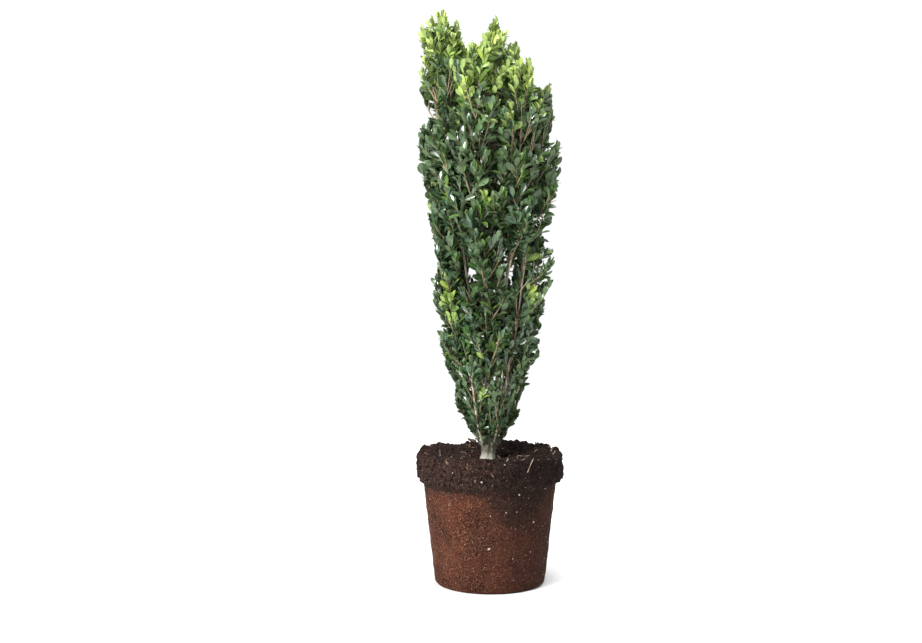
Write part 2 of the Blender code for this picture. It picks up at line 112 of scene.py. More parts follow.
# %% Floor
floor_bm = bmesh.new()
bmesh.ops.create_circle(floor_bm, cap_ends=True, segments=96, radius=2.3)
floor_mesh = bpy.data.meshes.new("floor")
floor_bm.to_mesh(floor_mesh)
floor_bm.free()
floor = bpy.data.objects.new("floor", floor_mesh)
bpy.context.scene.collection.objects.link(floor)
floor_finish = bpy.data.materials.new("pale_floor")
floor_finish.use_nodes = True
floor_finish.node_tree.nodes["Principled BSDF"].inputs["Base Color"].default_value = (0.93, 0.93, 0.93, 1)
floor_finish.node_tree.nodes["Principled BSDF"].inputs["Roughness"].default_value = 0.9
floor.data.materials.append(floor_finish)
floor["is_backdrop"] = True

# %% [markdown]
# ## Helpers for meshes
#
# A single form is turned, extruded or remeshed as a bmesh. Leaves, twigs and crumbs
# come in thousands, and an object for each would be slow, so they are made as arrays:
# one small shape, copied to many places, becomes one joined mesh.

# %% Add a piece
BODY = "root"


def add_piece(name, mesh, materials, node_names=()):
    """A finished piece that rides on the plant's body, and the nodes it replaces."""
    piece = in_scene(name, mesh)
    for material in materials:
        mesh.materials.append(material)
    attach(piece, BODY)
    if node_names:
        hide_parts(*node_names)
    triangles = sum(len(face.vertices) - 2 for face in mesh.polygons)
    print(f"{name}: {triangles} triangles")
    return piece


def mesh_from_bmesh(name, bm, sharp_degrees=40):
    """Smooth shading, with edges that fold more than the angle kept sharp."""
    mesh = bpy.data.meshes.new(name)
    bm.to_mesh(mesh)
    bm.free()
    mesh.shade_smooth()
    mesh.set_sharp_from_angle(angle=math.radians(sharp_degrees))
    return mesh


# %% Meshes from arrays
def add_arrays(name, points, faces, materials, kinds=None, node_names=(), sharp_degrees=60):
    """A piece whose faces all have the same number of corners. Kinds picks each face's material."""
    mesh = bpy.data.meshes.new(name)
    mesh.vertices.add(points.size // 3)
    mesh.vertices.foreach_set("co", points.astype(np.float32).ravel())
    mesh.loops.add(faces.size)
    mesh.loops.foreach_set("vertex_index", faces.astype(np.int32).ravel())
    mesh.polygons.add(len(faces))
    mesh.polygons.foreach_set("loop_start", np.arange(0, faces.size, faces.shape[1], dtype=np.int32))
    if kinds is not None:
        mesh.polygons.foreach_set("material_index", kinds.astype(np.int32))
    mesh.update(calc_edges=True)
    mesh.shade_smooth()
    mesh.set_sharp_from_angle(angle=math.radians(sharp_degrees))
    add_piece(name, mesh, materials, node_names)


def copied(count, points_each, faces):
    """The faces of one shape, numbered again for each of its copies."""
    offsets = np.arange(count)[:, None, None] * points_each
    return (faces[None] + offsets).reshape(-1, faces.shape[1])


def shape_arrays(bm):
    """The points and triangles of a bmesh, which is then freed."""
    bmesh.ops.triangulate(bm, faces=bm.faces)
    points = np.array([vert.co[:] for vert in bm.verts])
    bm.verts.index_update()
    faces = np.array([[vert.index for vert in face.verts] for face in bm.faces])
    bm.free()
    return points, faces


# %% Turned forms
MERGE_DISTANCE = 0.00002


def by_corners(face):
    """A number for a face, from its lowest and highest corner."""
    corners = [vert.index for vert in face.verts]
    return min(corners) * 100000 + max(corners)


def turned(profile, steps, widest=None):
    """A form spun from corners (radius, height). Widest says how long an edge may stay before that."""
    bm = bmesh.new()
    corners = [bm.verts.new((radius, 0, height)) for radius, height in profile]
    for pair in zip(corners, corners[1:]):
        bm.edges.new(pair)
    while widest:
        long_edges = [edge for edge in bm.edges if edge.calc_length() > widest(edge)]
        if not long_edges:
            break
        bmesh.ops.subdivide_edges(bm, edges=long_edges, cuts=1)
    outline = bm.verts[:] + bm.edges[:]
    axis = {"cent": (0, 0, 0), "axis": (0, 0, 1)}
    bmesh.ops.spin(bm, geom=outline, angle=math.tau, steps=steps, use_merge=True, **axis)
    bmesh.ops.remove_doubles(bm, verts=bm.verts, dist=MERGE_DISTANCE)
    bmesh.ops.recalc_face_normals(bm, faces=bm.faces)
    bm.verts.index_update()
    bm.faces.sort(key=by_corners)  # the spin makes the same faces in another order each run
    return bm


# %% Tubes through many paths at once
TUBE_SIDES = 4


def unit(vectors):
    return vectors / np.maximum(np.linalg.norm(vectors, axis=-1, keepdims=True), 1e-9)


def arc(share, start, control, end):
    """Points on a bent path, at shares of it, drawn towards a control point."""
    return (1 - share) ** 2 * start + 2 * share * (1 - share) * control + share**2 * end


def tube_rings(paths, radii):
    """Rings of points round paths: paths are (count, steps, 3) and radii (count, steps)."""
    run = unit(np.gradient(paths, axis=1))
    side = unit(np.cross(run, (0.21, 0.93, 0.12)))
    other = np.cross(run, side)
    turns = np.linspace(0, math.tau, TUBE_SIDES, endpoint=False)
    across = side[:, :, None] * np.cos(turns)[:, None] + other[:, :, None] * np.sin(turns)[:, None]
    return paths[:, :, None] + across * radii[:, :, None, None]


def tube_faces(steps):
    """The four-cornered faces of one tube, its two ends closed."""
    ring, corner = np.meshgrid(np.arange(steps - 1), np.arange(TUBE_SIDES), indexing="ij")
    after = (corner + 1) % TUBE_SIDES
    corners = [ring * TUBE_SIDES + corner, ring * TUBE_SIDES + after]
    corners += [corners[1] + TUBE_SIDES, corners[0] + TUBE_SIDES]
    cap = np.arange(TUBE_SIDES)[None]
    sides = np.stack(corners, axis=-1).reshape(-1, 4)
    return np.vstack([sides, cap[:, ::-1], cap + (steps - 1) * TUBE_SIDES])


def add_tubes(name, paths, radii, materials, kinds=None):
    """Joined tubes along the paths. Kinds picks each tube's material."""
    count, steps = paths.shape[:2]
    faces = tube_faces(steps)
    kinds = None if kinds is None else np.repeat(kinds, len(faces))
    everything = copied(count, steps * TUBE_SIDES, faces)
    add_arrays(name, tube_rings(paths, radii), everything, materials, kinds)


# %% [markdown]
# ## Helpers for finishes
#
# Soil and bark both need broken colour and fine lines. Painting images would tie them
# to one size, so both effects are node groups that work from a piece's own
# coordinates. "Mottle" gives soft patches from layered noise. "Strands" draws thin
# wandering lines where a noise crosses its middle value, like contour lines on a map:
# felted roots on the soil, and cracks when they are stretched along the bark. The
# studio's walls use the same helpers: they are white round the plant, dimmer overhead.

# %% Node helpers
def add_node(tree, kind, inputs=None, **settings):
    """Adds a node. An input is a value, or another node's output to link."""
    node = tree.nodes.new(kind)
    for name, value in settings.items():
        setattr(node, name, value)
    for name, value in (inputs or {}).items():
        if isinstance(value, bpy.types.NodeSocket):
            tree.links.new(value, node.inputs[name])
        else:
            node.inputs[name].default_value = value
    return node


def math_node(tree, operation, *values):
    return add_node(tree, "ShaderNodeMath", dict(enumerate(values)), operation=operation).outputs["Value"]


def ramp(tree, value, low, high, top=1.0, kind="SMOOTHSTEP"):
    """0 where the value is low, and top where it is high."""
    limits = {"Value": value, "From Min": low, "From Max": high, "To Max": top}
    return add_node(tree, "ShaderNodeMapRange", limits, interpolation_type=kind).outputs["Result"]


def noise_field(tree, vector, **values):
    return add_node(tree, "ShaderNodeTexNoise", {"Vector": vector, **values}).outputs["Fac"]


def coordinate(tree, place, axis):
    return add_node(tree, "ShaderNodeSeparateXYZ", {"Vector": place}).outputs[axis]


def new_group(name, inputs):
    """A node group with a Vector and named numbers as inputs, and a Mask as output."""
    group = bpy.data.node_groups.new(name, "ShaderNodeTree")
    group.interface.new_socket(name="Vector", in_out="INPUT", socket_type="NodeSocketVector")
    for title, value in inputs.items():
        socket = group.interface.new_socket(name=title, in_out="INPUT", socket_type="NodeSocketFloat")
        socket.default_value = value
    group.interface.new_socket(name="Mask", in_out="OUTPUT", socket_type="NodeSocketFloat")
    return group, group.nodes.new("NodeGroupInput").outputs, group.nodes.new("NodeGroupOutput").inputs["Mask"]


# %% Studio walls
world = bpy.data.worlds.new("studio")
world.use_nodes = True
walls = world.node_tree
direction = add_node(walls, "ShaderNodeTexCoord").outputs["Generated"]
steepness = math_node(walls, "ABSOLUTE", coordinate(walls, direction, "Z"))
limits = {"Value": steepness, "From Min": 0.22, "From Max": 0.50, "To Min": 1.02, "To Max": 0.29}
brightness = add_node(walls, "ShaderNodeMapRange", limits).outputs["Result"]
walls.links.new(brightness, walls.nodes["Background"].inputs["Strength"])
walls.nodes["Background"].inputs["Color"].default_value = (0.99, 0.995, 1.0, 1)
bpy.context.scene.world = world

# %% Mottle group
mottle, given, result = new_group("mottle", {"Scale": 50, "Low": 0.4, "High": 0.6})
patches = noise_field(mottle, given["Vector"], Scale=given["Scale"], Detail=4, Roughness=0.6)
mottle.links.new(ramp(mottle, patches, given["Low"], given["High"]), result)

# %% Strands group
strands, given, result = new_group("strands", {"Scale": 120, "Width": 0.03})
field = noise_field(strands, given["Vector"], Scale=given["Scale"], Detail=2, Distortion=0.6)
ridge = math_node(strands, "ABSOLUTE", math_node(strands, "SUBTRACT", field, 0.5))
strands.links.new(ramp(strands, ridge, given["Width"], 0.0, kind="LINEAR"), result)


# %% Materials
def new_material(name, roughness, colour=None, specular=0.5):
    """A material, its node tree, and its Principled shader."""
    material = bpy.data.materials.new(name)
    material.use_nodes = True
    shader = material.node_tree.nodes["Principled BSDF"]
    shader.inputs["Roughness"].default_value = roughness
    shader.inputs["Specular IOR Level"].default_value = specular
    if colour:
        shader.inputs["Base Color"].default_value = (*colour, 1)
    return material, material.node_tree, shader


def object_coordinates(tree, scale=(1, 1, 1)):
    """The piece's own coordinates, squeezed or stretched by a Mapping node."""
    coordinates = add_node(tree, "ShaderNodeTexCoord").outputs["Object"]
    return add_node(tree, "ShaderNodeMapping", {"Vector": coordinates, "Scale": scale}).outputs["Vector"]


def group_mask(tree, group, vector, **values):
    """One of the shared groups, placed in a material with its own values."""
    return add_node(tree, "ShaderNodeGroup", {"Vector": vector, **values}, node_tree=group).outputs["Mask"]


def mixed(tree, mask, first, second):
    """The first colour where the mask is 0 and the second where it is 1."""
    colours = [(*value, 1) if isinstance(value, tuple) else value for value in (first, second)]
    values = {0: mask, 6: colours[0], 7: colours[1]}
    return add_node(tree, "ShaderNodeMix", values, data_type="RGBA").outputs[2]


def layered(tree, colour, place, layers):
    """Patches over a colour, each layer with its mottle's scale, low and high, and its own colour."""
    for scale, low, high, patch in layers:
        colour = mixed(tree, group_mask(tree, mottle, place, Scale=scale, Low=low, High=high), colour, patch)
    return colour


def add_bump(tree, shader, height, depth, strength=1.0):
    """Fine relief, with the depth in metres."""
    bump = add_node(tree, "ShaderNodeBump", {"Height": height, "Distance": depth, "Strength": strength})
    tree.links.new(bump.outputs["Normal"], shader.inputs["Normal"])


def two_toned(name, roughness, first, layer, depth, group, **values):
    """A finish of one layer of patches, with a shared group as its relief."""
    material, tree, shader = new_material(name, roughness)
    place = object_coordinates(tree)
    tree.links.new(layered(tree, first, place, [layer]), shader.inputs["Base Color"])
    add_bump(tree, shader, group_mask(tree, group, place, **values), depth)
    return material


# %% [markdown]
# ## Root ball
#
# The pot's lip left a wide band at the top, and its tapering wall left a felt of fine
# roots on the side. The form is a turned one, so a profile of a few points is
# subdivided and spun. Turning alone would look machined. Layers of noise then push the
# points outwards: lumps and folds on the crumbly band, and only a slight unevenness on
# the side that the pot had pressed smooth. The underside stays flat, as the whole
# plant stands on it.

# %% Root ball sizes
SOIL_LEVEL = 0.222
SEAT_RADIUS = 0.026
RIM_RADIUS, RIM_TOP, RIM_FOOT = 0.1302, 0.2355, 0.189
SHOULDER_RADIUS, SHOULDER_HEIGHT = 0.1186, 0.181
FOOT_RADIUS, FOOT_BEVEL = 0.0978, 0.004
BALL_STEPS = 264
RING_STEP, BASE_STEP = 0.0030, 0.012  # the widest spacing of the rings, above and on the underside
SOFT_LIMIT, HARD_LIMIT = 0.1300, 0.1326  # the band's outline is squeezed between these radii


def smooth_step(value, low, high):
    share = np.clip((value - low) / (high - low), 0, 1)
    return share * share * (3 - 2 * share)


def crumbs_out(place):
    """How far the loose soil of the top and the rim band stands out."""
    lumps = noise.noise(place / 0.0135) * 0.0042
    clods = abs(noise.noise(place / 0.0070)) * 0.0062
    grains = noise.noise(place / 0.0030) * 0.0014
    return lumps + clods + grains - 0.0018


def felt_out(place):
    """The slight unevenness of the pressed side."""
    return noise.noise(place / 0.014) * 0.0009 + noise.noise(place / 0.006) * 0.00045


# %% Root ball form
def ring_step(edge):
    """The widest spacing of the rings: the flat underside needs few."""
    return RING_STEP if max(vert.co.z for vert in edge.verts) > 0.0001 else BASE_STEP


ball_profile = [
    (0, SOIL_LEVEL), (SEAT_RADIUS, SOIL_LEVEL), (RIM_RADIUS - 0.0045, RIM_TOP),
    (RIM_RADIUS - 0.0008, RIM_TOP - 0.0035), (RIM_RADIUS, 0.212), (RIM_RADIUS - 0.0006, RIM_FOOT),
    (SHOULDER_RADIUS, SHOULDER_HEIGHT), (FOOT_RADIUS, FOOT_BEVEL), (FOOT_RADIUS - FOOT_BEVEL, 0), (0, 0),
]
ball = turned(ball_profile, BALL_STEPS, ring_step)
print("root ball rings:", len(ball.verts) // BALL_STEPS)

# %% Heaps
HEAP_SIZE, HEAP_HEIGHT, HEAP_DIP, WALL_RELIEF = 0.030, 0.010, 0.25, 0.0022
HEAP_SIDES, TOP_RINGS = 36, 5
HEAP_RINGS = [  # the solid model's rings, as radius and height: five on the top, and seven down the side
    (0.04402, 0.22421), (0.06416, 0.22668), (0.08536, 0.22928), (0.10868, 0.23214), (0.126, 0.235),
    (0.132, 0.229), (0.132, 0.212), (0.132, 0.189),
    (0.119, 0.181), (0.112, 0.122), (0.105, 0.063), (0.098, 0.004),
]
EDGE_RADIUS, EDGE_HEIGHT = HEAP_RINGS[TOP_RINGS - 1]


def walked(radius, height, on_top):
    """How far along the profile a place lies: outwards over the top, then down the side."""
    return radius if on_top else EDGE_RADIUS + max(0, EDGE_HEIGHT - height)


ring_places = [SEAT_RADIUS] + [walked(*ring, index < TOP_RINGS) for index, ring in enumerate(HEAP_RINGS)]
heaps = np.zeros((len(ring_places), HEAP_SIDES + 1))
for ring, (radius, height) in enumerate(HEAP_RINGS, 1):
    for side in range(HEAP_SIDES + 1):
        turn = side / HEAP_SIDES * math.tau
        spot = Vector((radius * math.cos(turn), radius * math.sin(turn), height))
        heaps[ring, side] = noise.noise(spot / HEAP_SIZE)


def heap_at(place, radius):
    """The lift and the relief at a place, between those of the four nearest corners of the rings."""
    on_top = place.z > 0.2 and radius < RIM_RADIUS - 0.0041
    along = float(np.interp(walked(radius, place.z, on_top), ring_places, range(len(ring_places))))
    sides = math.atan2(place.y, place.x) / math.tau % 1 * HEAP_SIDES
    ring, side = min(int(along), len(ring_places) - 2), min(int(sides), HEAP_SIDES - 1)
    corners = heaps[ring:ring + 2, side:side + 2]
    shares = np.outer((1 - along + ring, along - ring), (1 - sides + side, sides - side))
    return float((np.maximum(corners, -HEAP_DIP) * shares).sum()), float((corners * shares).sum())


# %% Root ball relief
ball.normal_update()
moves = []
for vert in ball.verts:
    place = vert.co
    radius = math.hypot(place.x, place.y)
    if place.z < 0.0005 or radius < 1e-4:
        moves.append(Vector())
        continue
    lift, relief = heap_at(place, radius)
    loose = smooth_step(place.z, 0.176, 0.192)
    out = loose * crumbs_out(place) + (1 - loose) * felt_out(place)
    standing = smooth_step(place.z, 0.0005, 0.012)
    away = smooth_step(radius, 0.016, 0.034) if place.z > 0.2 else 1
    move = vert.normal * out * standing * (0.25 + 0.75 * away)
    move += Vector((place.x, place.y, 0)) / radius * WALL_RELIEF * relief * standing
    move.z += HEAP_HEIGHT * lift * smooth_step(place.z, 0.212, 0.222)
    moves.append(move)
for vert, move in zip(ball.verts, moves):
    vert.co += move
    reach = math.hypot(vert.co.x, vert.co.y)
    if reach > SOFT_LIMIT:
        room = HARD_LIMIT - SOFT_LIMIT
        squeezed = SOFT_LIMIT + room * (1 - math.exp((SOFT_LIMIT - reach) / room))
        vert.co.x *= squeezed / reach
        vert.co.y *= squeezed / reach
ball_mesh = mesh_from_bmesh("root_ball_soil", ball, 75)

# %% [markdown]
# ### Finish of the soil
#
# Damp potting soil is nearly black on the band, where it crumbles. The side is a
# reddish brown felt of fine roots, darker where water has run down from the band. The
# right side, away from the key lamp, is darker again with painted shade. One material
# covers both: the height of a point decides which it is, with noise added to the
# height so that the border wanders.

# %% Soil finish
# The first colour on the next line is near-black soil: partly the soil's own colour, partly painted shade of
# the pits between crumbs.
SOIL_DARK_AND_PIT_SHADE, SOIL_CRUMB = (0.0045, 0.0024, 0.0020), (0.030, 0.0145, 0.0110)
# The last colour on the next line is painted shade for the crumbs on the right side, away from the key lamp.
SOIL_GRAIN, SOIL_SPECK, SOIL_SIDE_SHADE = (0.082, 0.044, 0.034), (0.24, 0.18, 0.145), (0.006, 0.0030, 0.0024)
FELT_DARK, FELT_BROWN, FELT_LIGHT = (0.024, 0.0068, 0.0036), (0.084, 0.0250, 0.0128), (0.215, 0.088, 0.049)
# The second colour on the next line is painted shade for the felt on the right side, away from the key lamp.
FELT_ROOT, FELT_SIDE_SHADE = (0.150, 0.070, 0.045), (0.020, 0.0075, 0.0050)
STAIN_MIDDLE, STAIN_RADIUS, STAIN_FADE = (0.050, -0.108, 0.178), 0.064, 0.055
BORDER_WANDER = 0.070


def soil_border(tree, place):
    """A mask of the dark, loose soil: the band, and the stain below it on one side."""
    wander = noise_field(tree, place, Scale=38, Detail=6, Roughness=0.66)
    height = math_node(tree, "MULTIPLY_ADD", wander, BORDER_WANDER, coordinate(tree, place, "Z"))
    apart = add_node(tree, "ShaderNodeVectorMath", {0: place, 1: STAIN_MIDDLE}, operation="DISTANCE")
    edge = math_node(tree, "MULTIPLY_ADD", wander, BORDER_WANDER, apart.outputs["Value"])
    stain = ramp(tree, edge, STAIN_RADIUS + STAIN_FADE, STAIN_RADIUS, 0.85)
    return math_node(tree, "MAXIMUM", ramp(tree, height, 0.196, 0.222), stain)


def painted_shade_side(tree, place):
    """Painted shade: a mask that darkens the right side, away from the key lamp."""
    return ramp(tree, coordinate(tree, place, "X"), -0.07, 0.09, 0.66)


soil, tree, shader = new_material("damp_soil", 0.95, specular=0.12)
place = object_coordinates(tree)
root_lines = group_mask(tree, strands, place, Scale=170, Width=0.022)
felt = layered(tree, FELT_DARK, place, [(24, 0.36, 0.66, FELT_BROWN), (340, 0.47, 0.68, FELT_LIGHT)])
felt = layered(tree, mixed(tree, root_lines, felt, FELT_ROOT), place, [(460, 0.51, 0.58, FELT_DARK)])
# Crumbly soil: a near-black base, partly painted shade of the pits between crumbs, under lighter crumb and
# grain patches.
crumb = layered(tree, SOIL_DARK_AND_PIT_SHADE, place, [
    (130, 0.42, 0.60, SOIL_CRUMB), (330, 0.52, 0.66, SOIL_GRAIN), (640, 0.63, 0.68, SOIL_SPECK),
])
# Painted shade: felt and crumbs darken towards the right side, away from the key lamp.
side_shade = painted_shade_side(tree, place)
felt, crumb = mixed(tree, side_shade, felt, FELT_SIDE_SHADE), mixed(tree, side_shade, crumb, SOIL_SIDE_SHADE)
tree.links.new(mixed(tree, soil_border(tree, place), felt, crumb), shader.inputs["Base Color"])
grain = noise_field(tree, place, Scale=520, Detail=5, Roughness=0.7)
add_bump(tree, shader, math_node(tree, "MULTIPLY_ADD", root_lines, 0.35, grain), 0.0016)
add_piece("root_ball_soil", ball_mesh, [soil], ["root_ball"])

# %% [markdown]
# ### Crumbs, grains and strands on the soil
#
# Loose crumbs break the band's outline, white perlite grains and wood chips sit in the
# soil, and a few roots and straws lie on it. Each is a small closed shape. A crumb
# starts as an icosphere whose corners are pushed about, and copies of it go to random
# faces of the soil's own mesh, so every one of them sits in the surface it belongs to.

# %% Places on the soil
random = np.random.default_rng(29)
face_count = len(ball_mesh.polygons)


def face_data(name, width):
    """One value or vector for each face of the soil."""
    values = np.zeros(face_count * width)
    ball_mesh.polygons.foreach_get(name, values)
    return values.reshape(face_count, width)


face_places, face_normals = face_data("center", 3), face_data("normal", 3)
face_areas = face_data("area", 1)[:, 0]
face_reach = np.hypot(face_places[:, 0], face_places[:, 1])


def soil_spots(count, chosen):
    """Random faces of the soil among the chosen ones, by area: places and normals."""
    weights = face_areas * chosen
    picks = random.choice(face_count, count, p=weights / weights.sum())
    return face_places[picks], face_normals[picks]


def scatter(name, spots, sizes, detail, squash, sunk, material, push=0.25):
    """Lumps of the given sizes at the spots, each one pushed out of shape and turned at random."""
    bm = bmesh.new()
    bmesh.ops.create_icosphere(bm, subdivisions=detail, radius=0.5)
    points, faces = shape_arrays(bm)
    places, normals = spots
    count = len(places)
    lumps = points * (1 + push * random.normal(size=(count, len(points), 1)).clip(-1.5, 1.5))
    lumps = lumps * random.uniform(squash, 1, (count, 1, 3)) * sizes[:, None, None]
    turns, _ = np.linalg.qr(random.normal(size=(count, 3, 3)))
    turns[:, :, 0] *= np.sign(np.linalg.det(turns))[:, None]
    lumps = lumps @ turns.transpose(0, 2, 1)
    lumps += (places - normals * sizes[:, None] * sunk)[:, None]
    add_arrays(name, lumps, copied(count, len(points), faces), [material], sharp_degrees=50)


# %% Crumbs
CRUMBS, CLODS = 2600, 260
loose_top = (face_places[:, 2] > 0.195) & (face_reach > 0.018)
band_edge = (face_places[:, 2] > 0.218) & (face_reach > 0.112) & (face_reach < 0.1285)
crumb_spots = soil_spots(CRUMBS, loose_top & (face_reach < 0.1310))
scatter("soil_crumbs", crumb_spots, random.gamma(3, 0.0010, CRUMBS).clip(0.0012, 0.0065), 1, 0.55, 0.20, soil)
clod_spots = soil_spots(CLODS, band_edge | (loose_top & (face_reach < 0.122)))
scatter("soil_clods", clod_spots, random.uniform(0.004, 0.010, CLODS), 2, 0.6, 0.28, soil, 0.13)

# %% Perlite
GRAINS, SPECKS = 60, 620
LARGE_GRAINS = [  # those that catch the eye: sideways place, height, size
    (0.000, 0.082, 0.0052), (0.051, 0.177, 0.0048), (-0.013, 0.203, 0.0044), (0.075, 0.125, 0.0040),
]
chalk = (900, 0.4, 0.62, (0.80, 0.76, 0.70))
perlite = two_toned("perlite", 0.75, (0.42, 0.35, 0.30), chalk, 0.0003, mottle, Scale=1800)
side_faces = (face_places[:, 2] > 0.012) & (face_normals[:, 2] > -0.9) & (face_reach > 0.09)
grain_places, grain_normals = soil_spots(GRAINS, side_faces | loose_top)
grain_sizes = random.gamma(4, 0.00050, GRAINS).clip(0.0012, 0.0036)
for number, (across, height, size) in enumerate(LARGE_GRAINS):
    away = np.hypot(face_places[:, 0] - across, face_places[:, 2] - height) + (face_places[:, 1] > 0)
    grain_places[number], grain_normals[number] = face_places[away.argmin()], face_normals[away.argmin()]
    grain_sizes[number] = size
scatter("perlite_grains", (grain_places, grain_normals), grain_sizes, 2, 0.6, 0.12, perlite, 0.10)
speck_sizes = random.uniform(0.0007, 0.0015, SPECKS)
speck_spots = soil_spots(SPECKS, side_faces | loose_top)
scatter("perlite_specks", speck_spots, speck_sizes, 1, 0.6, 0.10, perlite, 0.15)

# %% Wood chips
CHIPS, CHIP_REACH = 34, 0.1320
CHIP_DARK, CHIP_TONE = (0.050, 0.024, 0.014), (45, 0.35, 0.65, (0.195, 0.110, 0.066))
# place, normal and length of the curl on the far edge
FAR_CURL = (-0.034, 0.118, 0.2364), (0.28, -0.77, 0.57), 0.016
chip_wood = two_toned("wood_chips", 0.85, CHIP_DARK, CHIP_TONE, 0.0004, strands, Scale=700, Width=0.08)


def strip_arrays(width, thickness, curl):
    """A chip of length 1: a thin bar, subdivided along its length and bent."""
    bm = bmesh.new()
    bmesh.ops.create_cube(bm, size=1, matrix=Matrix.Diagonal((1, width, thickness, 1)))
    long_edges = [edge for edge in bm.edges if abs(edge.verts[0].co.x - edge.verts[1].co.x) > 0.5]
    bmesh.ops.subdivide_edges(bm, edges=long_edges, cuts=5)
    for vert in bm.verts:
        share = 2 * vert.co.x
        vert.co.z += curl * share * share
        vert.co.y *= 1 - 0.5 * share * share
    return shape_arrays(bm)


chip_points, chip_faces = strip_arrays(0.32, 0.12, 0.16)
spots, normals = soil_spots(CHIPS, loose_top)
lengths = random.uniform(0.004, 0.013, CHIPS)
spots[0], normals[0], lengths[0] = FAR_CURL
across = unit(np.cross(normals, random.normal(size=(CHIPS, 3))))
turns = np.stack([across, np.cross(normals, across), normals], axis=-1)
all_chips = (chip_points * lengths[:, None, None]) @ turns.transpose(0, 2, 1)
all_chips += (spots + normals * 0.0004)[:, None]
reach = np.hypot(all_chips[..., 0], all_chips[..., 1]).max(axis=1)
all_chips[..., :2] *= np.minimum(1, CHIP_REACH / reach)[:, None, None]  # the outermost ones are pushed in
every_face = copied(CHIPS, len(chip_points), chip_faces)
add_arrays("wood_chips", all_chips, every_face, [chip_wood], sharp_degrees=30)

# %% [markdown]
# ### Roots on the side, and straws on top
#
# Roots that met the pot's wall turned and ran along it, mostly down and round. Each
# one here is a walk over the wall in small steps, and a thin tube follows it, half
# sunk in the felt. The same tubes, paler and on the top of the soil, are the straws.

# %% Fine roots
ROOTS, ROOT_STEPS, ROOT_STEP = 420, 13, 0.0034


def wall_radius(height):
    heights = (FOOT_BEVEL, SHOULDER_HEIGHT, RIM_FOOT)
    return np.interp(height, heights, (FOOT_RADIUS, SHOULDER_RADIUS, RIM_RADIUS - 0.001))


heading = random.normal(-math.pi / 2, 0.9, ROOTS)
turn = random.uniform(0, math.tau, ROOTS)
height = random.uniform(0.010, 0.178, ROOTS)
walks = []
for step in range(ROOT_STEPS):
    radius = wall_radius(height) - 0.0002
    walk = np.stack([radius * np.cos(turn), radius * np.sin(turn), height], axis=-1)
    walk += unit(walk * (1, 1, 0)) * np.array([felt_out(Vector(point)) for point in walk])[:, None]
    walks.append(walk)
    heading += random.normal(0, 0.35, ROOTS)
    turn = turn + ROOT_STEP * np.cos(heading) / radius
    height = np.clip(height + ROOT_STEP * np.sin(heading), 0.005, SHOULDER_HEIGHT)
thickness = random.uniform(0.00018, 0.00050, (ROOTS, 1)) * np.linspace(1.1, 0.5, ROOT_STEPS)

root_skin, tree, shader = new_material("fine_roots", 0.85, specular=0.25)
place = object_coordinates(tree)
roots_colour = layered(tree, (0.055, 0.019, 0.011), place, [(16, 0.35, 0.65, (0.165, 0.075, 0.047))])
# Painted shade: the roots darken towards the right side, away from the key lamp, like the felt.
roots_colour = mixed(tree, painted_shade_side(tree, place), roots_colour, (0.022, 0.0075, 0.0045))
tree.links.new(roots_colour, shader.inputs["Base Color"])
add_tubes("fine_roots", np.stack(walks, axis=1), thickness, [root_skin])

# %% Straws
STRAWS, STRAW_STEPS, STRAW_REACH = 22, 9, 0.128
BENT_ROOTS = np.array([  # start, bend and end of two pale roots over the band's edge, on the right
    ((0.075, -0.100, 0.238), (0.073, -0.120, 0.240), (0.064, -0.118, 0.217)),
    ((0.106, 0.024, 0.239), (0.116, 0.006, 0.252), (0.109, -0.006, 0.236)),
])
STRAW_DARK, STRAW_TONE = (0.20, 0.13, 0.075), (60, 0.35, 0.65, (0.52, 0.42, 0.29))
straw_skin = two_toned("dry_straw", 0.7, STRAW_DARK, STRAW_TONE, 0.0002, strands, Scale=900, Width=0.1)
spots, normals = soil_spots(STRAWS, loose_top & (face_reach < 0.124) & (face_places[:, 2] > 0.21))
away = unit(np.cross(normals, random.normal(size=(STRAWS, 3))))
bend = unit(np.cross(normals, away)) * random.normal(0, 0.35, (STRAWS, 1))
share = np.linspace(-0.5, 0.5, STRAW_STEPS)[None, :, None]
long = random.uniform(0.008, 0.026, (STRAWS, 1, 1))
paths = spots[:, None] + long * (away[:, None] * share + bend[:, None] * share**2) + normals[:, None] * 0.0010
reach = np.hypot(paths[..., 0], paths[..., 1])[..., None]
paths[..., :2] *= np.minimum(1, STRAW_REACH / reach)
for number, (start, bent, end) in enumerate(BENT_ROOTS):
    paths[number] = arc(share[0] + 0.5, start, bent, end)
thickness = np.full((STRAWS, STRAW_STEPS), 0.00042)
thickness[:len(BENT_ROOTS)] = 0.00055
add_tubes("straws", paths, thickness, [straw_skin])

# %% [markdown]
# ## The plan of the plant
#
# The crown is an inverted bell, wider with height. It is shared out among masses of
# foliage, and each mass has one stem: the low ones spring from the trunk, and the
# middle and high ones are the boughs carried on. The numbers are those of the solid
# model, so that the finished foliage fills the same room.

# %% Masses
TRUNK_HEIGHT, TRUNK_LEAN = 0.040, 0.004
FLARE_RADIUS, WAIST_RADIUS, FORK_RADIUS, WAIST_SHARE = 0.0140, 0.0120, 0.0180, 0.25
FLUTES, FLUTE_DEPTH = 7, 0.07
INNER_RING, OUTER_RING = 0.0090, 0.0144
CROWN_REACH, CROWN_FLARE, CROWN_DEPTH_SHARE, CROWN_FOOT = 0.127, 0.19, 0.92, 0.014
LEAF_ROOM = 0.043  # below a mass's top, where its stem ends
FULL_LEAF_HEIGHT, LOW_LEAF_SCALE = 0.30, 0.62
GOLDEN_ANGLE = math.radians(137.5)
UP = np.array([0, 0, 1.0])

